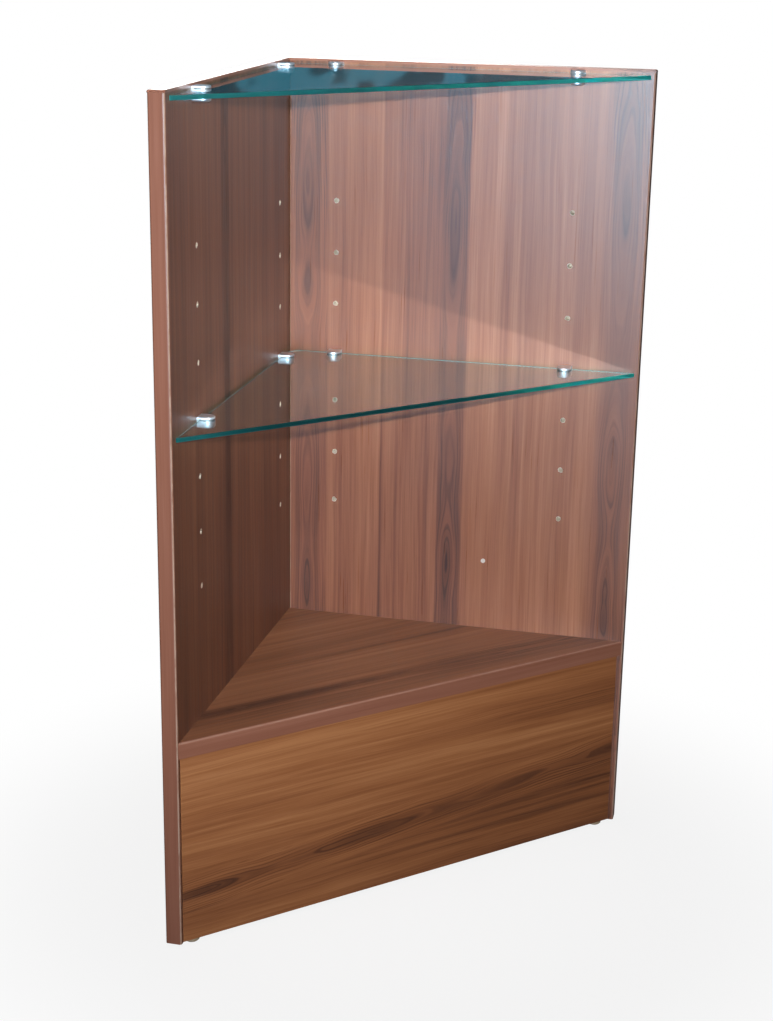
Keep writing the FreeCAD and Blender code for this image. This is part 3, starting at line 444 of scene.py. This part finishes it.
def makeLaminate(name, board):
    look = paperLook
    material, tree, shader = newMaterial(name, **{
        "Specular IOR Level": board["gloss"], "IOR": look["index"]})
    spot = place(tree)
    seed = board["seed"]
    along = dot(tree, spot, board["along"])
    across = minus(tree, dot(tree, spot, board["across"]), board["acrossFrom"])
    depth = minus(tree, dot(tree, spot, board["depth"]), board["depthFrom"])
    run = maths(tree, "DIVIDE", minus(tree, along, board["alongFrom"]), board["alongSpan"])
    tone = ramp(tree, maths(tree, "DIVIDE", across, board["span"]), board["staves"])
    tone = plus(tree, tone, centred(tree, ramp(tree, run, board["drift"])))
    bent = useGroup(tree, wobbleGroup, Along=along, Across=across, Seed=seed, Amount=board["wobble"])
    bent = bent["Field"]
    plain = useGroup(tree, grainGroup, Along=along, Field=bent, Seed=seed)
    zone, archField = layFigures(tree, board, along, across, bent, run)
    figured = useGroup(tree, grainGroup, Along=along, Field=archField, Seed=seed)["Tone"]
    growth = useGroup(tree, growthGroup, Along=along, Field=archField, Seed=seed, Step=look["growthStep"])
    heart = smooth(tree, archField, look["heartStart"], look["heartEnd"], 1.0, 0.0)
    figured = minus(tree, figured, times(tree, growth["Mask"], look["growthTone"]))
    figured = minus(tree, figured, times(tree, heart, board["heart"]))
    tone = timesPlus(tree, mixValue(tree, zone, plain["Tone"], figured), board["contrast"], tone)
    tone = minus(tree, tone, times(tree, plain["Pores"], look["poreTone"]))
    laminate = mixColour(tree, 1.0, ramp(tree, tone, cherryTones), board["tint"], "MULTIPLY")
    chips = useGroup(tree, chipGroup, Place=spot)
    # Paper only covers the two faces: a bore, an end or an underside shows the chips
    fromMiddle = maths(tree, "ABSOLUTE", minus(tree, depth, boardThickness / 2))
    onFace = maths(tree, "GREATER_THAN", fromMiddle, boardThickness / 2 - look["thickness"])
    if "holes" in board:
        back, front = board["holes"]
        rims = useGroup(tree, rimGroup, Place=spot, Across=across, Height=along, Back=back, Front=front,
                        Rim=board["rim"])["Mask"]
        inner = maths(tree, "LESS_THAN", depth, boardThickness / 2)
        onFace = maths(tree, "SUBTRACT", onFace, times(tree, rims, inner), clamp=True)
    tree.links.new(mixColour(tree, onFace, chips["Colour"], laminate), shader.inputs["Base Color"])
    sheen = timesPlus(tree, centred(tree, plain["Lines"]), look["sheen"], board["roughness"])
    tree.links.new(mixValue(tree, onFace, look["chipRoughness"], sheen), shader.inputs["Roughness"])
    pearl = times(tree, noise(tree, spot, look["pearlScale"], detail=2.0), look["pearlRelief"])
    relief = timesPlus(tree, plain["Lines"], look["lineRelief"], pearl)
    relief = minus(tree, relief, times(tree, plain["Pores"], look["poreRelief"]))
    relief = mixValue(tree, onFace, chips["Height"], relief)
    bump(tree, shader, relief, look["reliefStrength"], look["reliefHeight"])
    return material


bandLook = {
    "tones": [(0.35, (0.255, 0.096, 0.059)), (0.5, (0.315, 0.130, 0.083)), (0.65, (0.375, 0.166, 0.111))],
    "gloss": 0.35, "index": 1.5, "wobble": 0.004, "sheen": 0.14,
    "reliefStrength": 0.12, "reliefHeight": 0.0002,
    # Painted highlight: the rounded corners on the lit side are paler, in patches
    "paintedHighlight": (0.60, 0.45, 0.36, 1.0), "patchScale": 45.0, "patchStart": 0.30, "patchFull": 0.60,
    "leastHighlight": 0.4, "cornerFull": 0.80, "cornerEnd": 0.97, "litSideStart": 0.1, "litSideFull": 0.3,
}


def makeBand(name, along, flats, litSide, seed, paintedHighlight=0.85, roughness=0.34):
    # The bands' plastic is printed to suit, but plainer than the boards' paper
    look = bandLook
    material, tree, shader = newMaterial(name, **{
        "Specular IOR Level": look["gloss"], "IOR": look["index"]})
    spot = place(tree)
    run = dot(tree, spot, along)
    side = dot(tree, spot, tuple(Vector(flats[0]) + Vector(flats[1])))
    field = useGroup(tree, wobbleGroup, Along=run, Across=side, Seed=seed, Amount=look["wobble"])["Field"]
    grain = useGroup(tree, grainGroup, Along=run, Field=field, Seed=seed)
    colour = ramp(tree, plus(tree, grain["Tone"], 0.5), look["tones"])
    # A corner faces none of the band's own directions squarely
    facing = addNode(tree, "ShaderNodeNewGeometry").outputs["Normal"]
    squarest = 0.0
    for flat in (along, *flats):
        squarest = maths(tree, "MAXIMUM", squarest, maths(tree, "ABSOLUTE", dot(tree, facing, flat)))
    corner = smooth(tree, squarest, look["cornerFull"], look["cornerEnd"], 1.0, 0.0)
    facingLitSide = smooth(tree, dot(tree, facing, litSide), look["litSideStart"], look["litSideFull"])
    corner = times(tree, corner, facingLitSide)
    patchy = noise(tree, spot, look["patchScale"], detail=3.0, roughness=0.6)
    patchy = smooth(tree, patchy, look["patchStart"], look["patchFull"], paintedHighlight * look["leastHighlight"],
                    paintedHighlight)
    # A paler colour painted on the rounded corners of the lit side: a painted highlight
    tree.links.new(mixColour(tree, times(tree, corner, patchy), colour, look["paintedHighlight"]),
                   shader.inputs["Base Color"])
    sheen = timesPlus(tree, centred(tree, grain["Lines"]), look["sheen"], roughness)
    tree.links.new(sheen, shader.inputs["Roughness"])
    bump(tree, shader, grain["Lines"], look["reliefStrength"], look["reliefHeight"])
    return material


def dress(material, *names):
    for name in names:
        for slot in nodes[name].material_slots:
            slot.material = material


dress(makeLaminate("leftWallLaminate", leftWall), "left_panel")
dress(makeLaminate("rightWallLaminate", rightWall), "right_panel")
dress(makeLaminate("deckLaminate", deckBoard), "deck_panel")
dress(makeLaminate("kickLaminate", kickBoard), "kick_board")
upright, wide, deep, forward = (0, 0, 1), (1, 0, 0), (0, 1, 0), (0, -1, 0)
dress(makeBand("leftWallBand", upright, (wide, deep), wide, seed=5.0),
      "left_panel_front_band", "left_panel_back_band")
dress(makeBand("rightWallBand", upright, (wide, deep), forward, seed=5.7),
      "right_panel_end_band", "right_panel_corner_band")
dress(makeBand("leftTopBand", deep, (wide, upright), wide, seed=6.0), "left_panel_top_band")
dress(makeBand("rightTopBand", wide, (deep, upright), forward, seed=8.0, roughness=0.38),
      "right_panel_top_band")
dress(makeBand("deckFrontBand", tuple(diagonal), (tuple(outward), upright), upright, seed=9.0, paintedHighlight=0.25),
      "deck_front_band")
print("boards and bands dressed")


glassLook = {
    "face": (0.81, 0.965, 0.985, 1.0), "faceClear": 0.97, "facing": 0.9, "index": 1.52, "smudged": 0.012,
    "edge": (0.02, 0.74, 0.70, 1.0), "paintedEdgeGlow": (0.0, 0.026, 0.030, 1.0), "edgeClear": 0.12,
    "ground": 0.30,
}


def makeGlass():
    look = glassLook
    material, tree, shader = newMaterial("greenFloatGlass", **{
        "Transmission Weight": 1.0, "IOR": look["index"], "Emission Strength": 1.0})
    facing = addNode(tree, "ShaderNodeSeparateXYZ", inputs={
        "Vector": addNode(tree, "ShaderNodeNewGeometry").outputs["True Normal"]}).outputs["Z"]
    onEdge = maths(tree, "LESS_THAN", maths(tree, "ABSOLUTE", facing), look["facing"])
    tree.links.new(mixColour(tree, onEdge, look["face"], look["edge"]), shader.inputs["Base Color"])
    # Painted glow: the ground edges give off a faint teal light of their own, in place of the light that a
    # pane gathers and lets out along its edges
    tree.links.new(mixColour(tree, onEdge, (0, 0, 0, 1), look["paintedEdgeGlow"]), shader.inputs["Emission Color"])
    marks = useGroup(tree, smudgeGroup, Place=place(tree), Low=0.0, High=look["smudged"])
    tree.links.new(mixValue(tree, onEdge, marks["Roughness"], look["ground"]), shader.inputs["Roughness"])
    # A pane lets the lamp's light through, less so at a low angle, which a shadow ray doesn't see by itself
    shadowRay = addNode(tree, "ShaderNodeLightPath").outputs["Is Shadow Ray"]
    behind = addNode(tree, "ShaderNodeNewGeometry").outputs["Backfacing"]
    mirrored = addNode(tree, "ShaderNodeFresnel", inputs={
        "IOR": mixValue(tree, behind, look["index"], 1 / look["index"])}).outputs["Fac"]
    faceClear = times(tree, minus(tree, 1.0, mirrored), look["faceClear"])
    clear = mixValue(tree, onEdge, faceClear, look["edgeClear"])
    tree.links.new(minus(tree, 1.0, times(tree, shadowRay, clear)), shader.inputs["Alpha"])
    return material


dress(makeGlass(), "mid_glass", "top_glass")
print("glass dressed")


metalLooks = {
    "platedSteel": {"colour": (0.62, 0.61, 0.58, 1.0), "clean": 0.22, "smudged": 0.38},
    "castZinc": {"colour": (0.50, 0.50, 0.50, 1.0), "clean": 0.35, "smudged": 0.50},
    "satinChrome": {"colour": (0.84, 0.86, 0.90, 1.0), "clean": 0.42, "smudged": 0.50},
}
plasticLooks = {
    "clearPad": {"dark": (0.62, 0.66, 0.64), "light": (0.78, 0.80, 0.78), "clean": 0.25, "clouds": 500.0},
    "beigeGlide": {"dark": (0.42, 0.32, 0.21), "light": (0.52, 0.41, 0.28), "clean": 0.4, "clouds": 300.0},
    "paleCap": {"dark": (0.66, 0.62, 0.58), "light": (0.76, 0.73, 0.70), "clean": 0.40, "clouds": 400.0},
}
plasticSkin = {"smudge": 0.15, "pebbleScale": 2600.0, "pebbleStrength": 0.1, "pebbleHeight": 0.0001}
beechLook = {"tones": [(0.3, (0.46, 0.30, 0.16)), (0.7, (0.66, 0.48, 0.29))], "ringScale": 260.0,
             "roughness": 0.6}


def makeMetal(name):
    look = metalLooks[name]
    material, tree, shader = newMaterial(name, **{"Metallic": 1.0, "Base Color": look["colour"]})
    marks = useGroup(tree, smudgeGroup, Place=place(tree), Low=look["clean"], High=look["smudged"])
    tree.links.new(marks["Roughness"], shader.inputs["Roughness"])
    return material


def makePlastic(name):
    look = plasticLooks[name]
    material, tree, shader = newMaterial(name, **{"Specular IOR Level": 0.5})
    spot = place(tree)
    cloud = noise(tree, spot, look["clouds"], detail=3.0, roughness=0.6)
    colour = ramp(tree, cloud, [(0.3, look["dark"]), (0.7, look["light"])])
    tree.links.new(colour, shader.inputs["Base Color"])
    smudged = look["clean"] + plasticSkin["smudge"]
    marks = useGroup(tree, smudgeGroup, Place=spot, Low=look["clean"], High=smudged)
    tree.links.new(marks["Roughness"], shader.inputs["Roughness"])
    pebbles = noise(tree, spot, plasticSkin["pebbleScale"], detail=1.0)
    bump(tree, shader, pebbles, plasticSkin["pebbleStrength"], plasticSkin["pebbleHeight"])
    return material


def makeBeech():
    material, tree, shader = newMaterial("beechDowel", **{"Roughness": beechLook["roughness"]})
    rings = noise(tree, place(tree), beechLook["ringScale"], detail=3.0, roughness=0.6, distortion=0.6)
    tree.links.new(ramp(tree, rings, beechLook["tones"]), shader.inputs["Base Color"])
    return material


dress(makeMetal("platedSteel"), "corner_cam_bolts", "deck_cam_bolts", "left_kick_bracket",
      "right_kick_bracket", "kick_bracket_screws", "mid_clamp_grub_screws", "top_clamp_grub_screws")
dress(makeMetal("castZinc"), "corner_cams", "deck_cams")
dress(makeBeech(), "corner_dowels", "deck_dowels", "kick_dowels")
dress(makePlastic("clearPad"), "mid_clamp_pads", "top_clamp_pads")
dress(makePlastic("beigeGlide"), "left_glide", "right_glide", "corner_glide")
dress(makePlastic("paleCap"), "wall_fixing_cap")
print("fittings dressed")


clampShape = {
    "width": 0.017, "depth": 0.018, "back": 0.0025, "slot": 0.006,
    "upperJaw": 0.0025, "lowerJaw": 0.008, "upperRound": 0.0009, "lowerTaper": 0.0024,
    "screwReach": 0.009, "screwHole": 0.002, "plugRadius": 0.00245, "plugLength": 0.009, "plugTip": 0.94,
    "noseSteps": 28, "holeSides": 20, "plugSides": 24, "upperSteps": 5, "lowerSteps": 6,
    "sharpAngle": math.radians(32),
}
chrome = makeMetal("satinChrome")


def edgesAt(metal, height, reach=-1.0):
    # Edges that lie at one height, in front of a distance from the wall
    return [edge for edge in metal.edges if all(
        abs(vert.co.z - height) < hairline and vert.co.x > reach - hairline for vert in edge.verts)]


def fillRound(metal, outer, height):
    # Fills a jaw's flat face round the grub screw's hole, and gives back the hole's edges
    shape = clampShape
    made = bmesh.ops.create_circle(metal, cap_ends=False, segments=shape["holeSides"],
                                   radius=shape["screwHole"],
                                   matrix=Matrix.Translation((shape["screwReach"], 0, height)))
    hole = list({edge for vert in made["verts"] for edge in vert.link_edges})
    bmesh.ops.triangle_fill(metal, use_beauty=True, edges=outer + hole)
    return hole


def buildClampBody(metal):
    # Lies with its plug along -X, its nose along +X and the middle of its slot at the origin's height
    shape = clampShape
    half = shape["width"] / 2
    centre = shape["depth"] - half
    slotLow, slotHigh = -shape["slot"] / 2, shape["slot"] / 2
    low, high = slotLow - shape["lowerJaw"], slotHigh + shape["upperJaw"]
    nose = metal.verts.new((centre, -half, low))
    spun = bmesh.ops.spin(metal, geom=[nose], cent=(centre, 0, low), axis=(0, 0, 1), angle=math.pi,
                          steps=shape["noseSteps"])
    last = next(part for part in spun["geom_last"] if isinstance(part, bmesh.types.BMVert))
    chain = [last] + [metal.verts.new(spot) for spot in (
        (shape["back"], half, low), (0, half, low), (0, -half, low), (shape["back"], -half, low))] + [nose]
    for first, second in zip(chain, chain[1:]):
        metal.edges.new((first, second))
    face = bmesh.ops.contextual_create(metal, geom=metal.edges[:])["faces"][0]
    for rise in (shape["lowerJaw"], shape["slot"], shape["upperJaw"]):
        grown = bmesh.ops.extrude_face_region(metal, geom=[face])["geom"]
        face = next(part for part in grown if isinstance(part, bmesh.types.BMFace))
        bmesh.ops.translate(metal, vec=(0, 0, rise),
                            verts=[part for part in grown if isinstance(part, bmesh.types.BMVert)])
    for height, offset, segments in ((high, shape["upperRound"], shape["upperSteps"]),
                                     (low, shape["lowerTaper"], shape["lowerSteps"])):
        rim = [edge for edge in edgesAt(metal, height) if any(vert.co.x > hairline for vert in edge.verts)]
        bmesh.ops.bevel(metal, geom=rim, offset=offset, offset_type="OFFSET", affect="EDGES",
                        segments=segments, profile=0.5, material=-1, clamp_overlap=True)
    # Opens the slot in front of the back plate and closes the metal behind it
    near = 10 * hairline
    middles = [(face, face.calc_center_median()) for face in metal.faces]
    opened = [face for face, middle in middles if abs(middle.z) < near and middle.x > shape["back"] + near]
    bmesh.ops.delete(metal, geom=opened, context="FACES")
    backVerts = {(vert.co.z > 0, vert.co.y > 0): vert for vert in metal.verts
                 if abs(vert.co.x - shape["back"]) < hairline and abs(abs(vert.co.z) - slotHigh) < hairline}
    for isUpper in (True, False):
        metal.edges.new((backVerts[isUpper, False], backVerts[isUpper, True]))
    bmesh.ops.contextual_create(metal, geom=list(backVerts.values()))
    bmesh.ops.contextual_create(metal, geom=edgesAt(metal, slotHigh, shape["back"]))
    upperHole = fillRound(metal, edgesAt(metal, slotLow, shape["back"]), slotLow)
    under = [face for face in metal.faces if abs(face.calc_center_median().z - low) < hairline]
    bmesh.ops.delete(metal, geom=under, context="FACES_ONLY")
    lowerHole = fillRound(metal, edgesAt(metal, low), low)
    bmesh.ops.bridge_loops(metal, edges=upperHole + lowerHole)


def makeClamp(nodeName):
    shape = clampShape
    low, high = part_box(nodeName)
    middle = (low + high) / 2
    height = high.z - shape["upperJaw"] - shape["slot"] / 2
    if "_left_" in nodeName:
        seat = Matrix.Translation((innerX, middle.y, height))
    else:
        seat = Matrix.Translation((middle.x, innerY, height)) @ Matrix.Rotation(-math.pi / 2, 4, "Z")
    metal = bmesh.new()
    buildClampBody(metal)
    plugSeat = Matrix.Translation((-shape["plugLength"] / 2, 0, 0)) @ Matrix.Rotation(-math.pi / 2, 4, "Y")
    bmesh.ops.create_cone(metal, cap_ends=True, segments=shape["plugSides"], radius1=shape["plugRadius"],
                          radius2=shape["plugRadius"] * shape["plugTip"], depth=shape["plugLength"],
                          matrix=plugSeat)
    bmesh.ops.remove_doubles(metal, verts=metal.verts, dist=hairline)
    bmesh.ops.recalc_face_normals(metal, faces=metal.faces)
    for face in metal.faces:
        face.smooth = True
    for edge in metal.edges:
        edge.smooth = edge.is_manifold and edge.calc_face_angle(0.0) < shape["sharpAngle"]
    bmesh.ops.transform(metal, matrix=seat, verts=metal.verts)
    mesh = bpy.data.meshes.new(nodeName + "_chrome")
    metal.to_mesh(mesh)
    metal.free()
    mesh.materials.append(chrome)
    clamp = bpy.data.objects.new(nodeName + "_chrome", mesh)
    scene.collection.objects.link(clamp)
    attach(clamp, "cabinet")
    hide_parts(nodeName)
    return clamp


clamps = [makeClamp(name) for name in nodes if name.endswith("_clamp")]
print("glass clamps made")


# Pale paper for the camera, and a dim room for reflections, which fades in and out between the
# heights of a direction that its floor and ceiling lines give
room = {
    "floorRadius": 40.0, "floorSides": 96, "floorRoughness": 0.9,
    "floorColour": (0.80, 0.80, 0.80, 1.0), "floorBounce": (0.16, 0.16, 0.16, 1.0),
    "fadeFrom": 0.30, "fadeTo": 0.75, "nearGlow": 0.84,
    "paleSky": (1.0, 1.0, 1.0, 1.0), "dimRoom": (0.20, 0.23, 0.27, 1.0),
    "slate": (0.004, 0.045, 0.066, 1.0), "slateLight": (0.030, 0.170, 0.240, 1.0),
    "ambient": (0.03, 0.032, 0.036, 1.0),
    "behind": (-0.23, 0.97, 0.0), "behindFade": (0.5, 0.85), "floorLine": (0.035, 0.075),
    "ceilingLine": (0.45, 0.75), "shapeScale": 34.0, "shapeFade": (0.44, 0.56),
}


def seenDirectly(tree):
    path = addNode(tree, "ShaderNodeLightPath").outputs
    return maths(tree, "MAXIMUM", path["Is Camera Ray"], path["Is Transmission Ray"])


def makeFloor():
    mesh = bpy.data.meshes.new("floor")
    disc = bmesh.new()
    bmesh.ops.create_circle(disc, cap_ends=True, segments=room["floorSides"], radius=room["floorRadius"])
    disc.to_mesh(mesh)
    disc.free()
    floor = bpy.data.objects.new("floor", mesh)
    scene.collection.objects.link(floor)
    material, tree, shader = newMaterial("paleFloor", **{
        "Roughness": room["floorRoughness"], "Specular IOR Level": 0.0})
    glow = addNode(tree, "ShaderNodeEmission", inputs={"Color": (1, 1, 1, 1), "Strength": 1.0})
    seen = seenDirectly(tree)
    colour = mixColour(tree, seen, room["floorBounce"], room["floorColour"])
    tree.links.new(colour, shader.inputs["Base Color"])
    away = addNode(tree, "ShaderNodeVectorMath", {"operation": "LENGTH"})
    feed(tree, away.inputs[0], place(tree))
    far = smooth(tree, away.outputs["Value"], room["fadeFrom"], room["fadeTo"], room["nearGlow"], 1.0)
    mixer = addNode(tree, "ShaderNodeMixShader")
    feed(tree, mixer.inputs[0], times(tree, seen, far))
    tree.links.new(shader.outputs[0], mixer.inputs[1])
    tree.links.new(glow.outputs[0], mixer.inputs[2])
    tree.links.new(mixer.outputs[0], tree.nodes["Material Output"].inputs["Surface"])
    mesh.materials.append(material)


def makeWorld():
    world = bpy.data.worlds.new("studio")
    scene.world = world
    world.use_nodes = True
    tree = world.node_tree
    ground = tree.nodes["Background"]
    direction = addNode(tree, "ShaderNodeTexCoord").outputs["Generated"]
    height = addNode(tree, "ShaderNodeSeparateXYZ", inputs={"Vector": direction}).outputs["Z"]
    # Reflections show a dim room instead of the pale paper, darkest behind the cabinet
    behind = dot(tree, direction, tuple(Vector(room["behind"]).normalized()))
    dim = times(tree, smooth(tree, height, *room["floorLine"]), smooth(tree, behind, *room["behindFade"]))
    dim = times(tree, dim, smooth(tree, height, *room["ceilingLine"], 1.0, 0.0))
    path = addNode(tree, "ShaderNodeLightPath").outputs
    shapes = noise(tree, direction, room["shapeScale"], detail=2.0, roughness=0.6, distortion=0.3)
    shapes = smooth(tree, shapes, *room["shapeFade"])
    slate = mixColour(tree, shapes, room["slate"], room["slateLight"])
    around = mixColour(tree, path["Is Transmission Ray"], room["dimRoom"], room["paleSky"])
    mirrored = mixColour(tree, dim, around, slate)
    light = mixColour(tree, path["Is Glossy Ray"], room["ambient"], mirrored)
    tree.links.new(mixColour(tree, path["Is Camera Ray"], light, room["paleSky"]), ground.inputs["Color"])
    ground.inputs["Strength"].default_value = 1.0


cameraPlace = {"location": (0.44099, -2.02515, 1.14556), "degrees": (72.0744, -0.9074, 13.4462),
               "lens": 66.362, "sensorWidth": 36.0}


def makeCamera():
    data = bpy.data.cameras.new("camera")
    data.sensor_width = cameraPlace["sensorWidth"]
    data.lens = cameraPlace["lens"]
    camera = bpy.data.objects.new("camera", data)
    camera.location = cameraPlace["location"]
    camera.rotation_euler = [math.radians(angle) for angle in cameraPlace["degrees"]]
    scene.collection.objects.link(camera)
    scene.camera = camera


def gather(name, things):
    collection = bpy.data.collections.new(name)
    for thing in things:
        collection.objects.link(thing)
    return collection


def makeLamp(name, kind, energy, spot, target, colour, hiddenFrom=(), lights=(), blockers=(), **settings):
    data = bpy.data.lights.new(name, kind)
    data.energy = energy
    data.color = colour
    for label, value in settings.items():
        setattr(data, label, value)
    lamp = bpy.data.objects.new(name, data)
    lamp.location = spot
    lamp.rotation_euler = (Vector(target) - Vector(spot)).to_track_quat("-Z", "Y").to_euler()
    scene.collection.objects.link(lamp)
    for ray in hiddenFrom:
        setattr(lamp, "visible_" + ray, False)
    if lights:
        lamp.light_linking.receiver_collection = gather(name + "Lights", lights)
    if blockers:
        lamp.light_linking.blocker_collection = gather(name + "Blockers", blockers)
    return lamp


def makeShelfBounce(lamp, shelf, energy):
    # A shelf mirrors the camera lamp up on the walls, as if a twin of the lamp shone from below the shelf
    # through an opening of the shelf's own shape
    low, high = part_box(shelf + "_glass")
    source = Vector((lamp.location.x, lamp.location.y, 2 * high.z - lamp.location.z))
    walls = [nodes[name + ending] for name in ("left_panel", "right_panel") for ending in ("", "_top_band")]
    twin = makeLamp(shelf + "ShelfBounce", "POINT", energy, source, source + Vector((0, 0, -1)),
                    tuple(lamp.data.color), lights=walls,
                    blockers=[clamp for clamp in clamps if clamp.name.startswith(shelf)],
                    shadow_soft_size=0.0, use_nodes=True)
    tree = twin.data.node_tree
    ray = addNode(tree, "ShaderNodeSeparateXYZ", inputs={
        "Vector": addNode(tree, "ShaderNodeTexCoord").outputs["Normal"]}).outputs
    # Where the ray meets the shelf's plane, inside its three sides
    spread = maths(tree, "DIVIDE", high.z - source.z, ray["Z"])
    x = timesPlus(tree, ray["X"], spread, source.x)
    y = timesPlus(tree, ray["Y"], spread, source.y)
    through = times(tree, maths(tree, "GREATER_THAN", x, low.x), maths(tree, "LESS_THAN", y, high.y))
    front = maths(tree, "LESS_THAN", minus(tree, x, y), high.x - high.y)
    through = times(tree, times(tree, through, front), maths(tree, "GREATER_THAN", ray["Z"], 0.0))
    feed(tree, tree.nodes["Emission"].inputs["Strength"], through)


cameraLampLook = {
    "kind": "SPOT", "energy": 172.0, "spot": (0.441, -2.025, 1.235), "target": (-0.12, 0.0, 0.72),
    "colour": (1.0, 0.985, 0.97), "shadow_soft_size": 0.02, "spot_size": math.radians(62),
    "spot_blend": 1.0,
}
bounceEnergy = {"mid": 55.0, "top": 95.0}
roomLamps = {
    # Only the window's sheen on the boards and its glint on the chrome are wanted
    "windowLamp": {
        "kind": "AREA", "energy": 290.0, "spot": (0.7, -4.2, 0.80), "target": (0.0, 0.0, 0.9),
        "colour": (0.50, 0.78, 1.0), "hiddenFrom": ("diffuse",),
        "shape": "RECTANGLE", "size": 1.4, "size_y": 0.9},
    # The cool sheen on the inner half of the right wall, which the left wall would hide
    "daylight": {
        "kind": "AREA", "energy": 36.0, "spot": (-1.9, -4.2, 0.45), "target": (-0.1, 0.2, 0.8),
        "colour": (0.15, 0.45, 1.0), "hiddenFrom": ("diffuse",), "lights": [nodes["right_panel"]],
        "blockers": clamps, "shape": "RECTANGLE", "size": 1.4, "size_y": 0.9},
    "overheadLamp": {
        "kind": "AREA", "energy": 8.0, "spot": (-0.05, -0.05, 2.7), "target": (-0.05, -0.05, 0.5),
        "colour": (0.96, 0.98, 1.0), "shape": "SQUARE", "size": 1.2},
    # The pale floor, as the lower clamps see it: the shelves hide it from the upper ones
    "paperBounce": {
        "kind": "AREA", "energy": 26.0, "spot": (0.3, -2.0, 0.01), "target": (0.3, -2.0, 1.0),
        "colour": (0.95, 0.97, 1.0), "hiddenFrom": ("camera", "transmission"),
        "lights": [clamp for clamp in clamps if clamp.name.startswith("mid")],
        "shape": "RECTANGLE", "size": 4.0, "size_y": 3.0},
    # For views from behind. It is kept off the glass, whose edges it would light up at the front
    "backLamp": {
        "kind": "AREA", "energy": 110.0, "spot": (-1.1, 2.3, 2.1), "target": (-0.1, 0.1, 0.6),
        "colour": (1.0, 0.98, 0.96), "shape": "RECTANGLE", "size": 1.6, "size_y": 0.8,
        "lights": [thing for name, thing in nodes.items() if "glass" not in name]},
}

makeFloor()
makeWorld()
makeCamera()
cameraLamp = makeLamp("cameraLamp", **cameraLampLook)
for shelf, energy in bounceEnergy.items():
    makeShelfBounce(cameraLamp, shelf, energy)
for name, look in roomLamps.items():
    makeLamp(name, **look)
print("floor, lamps and camera placed")
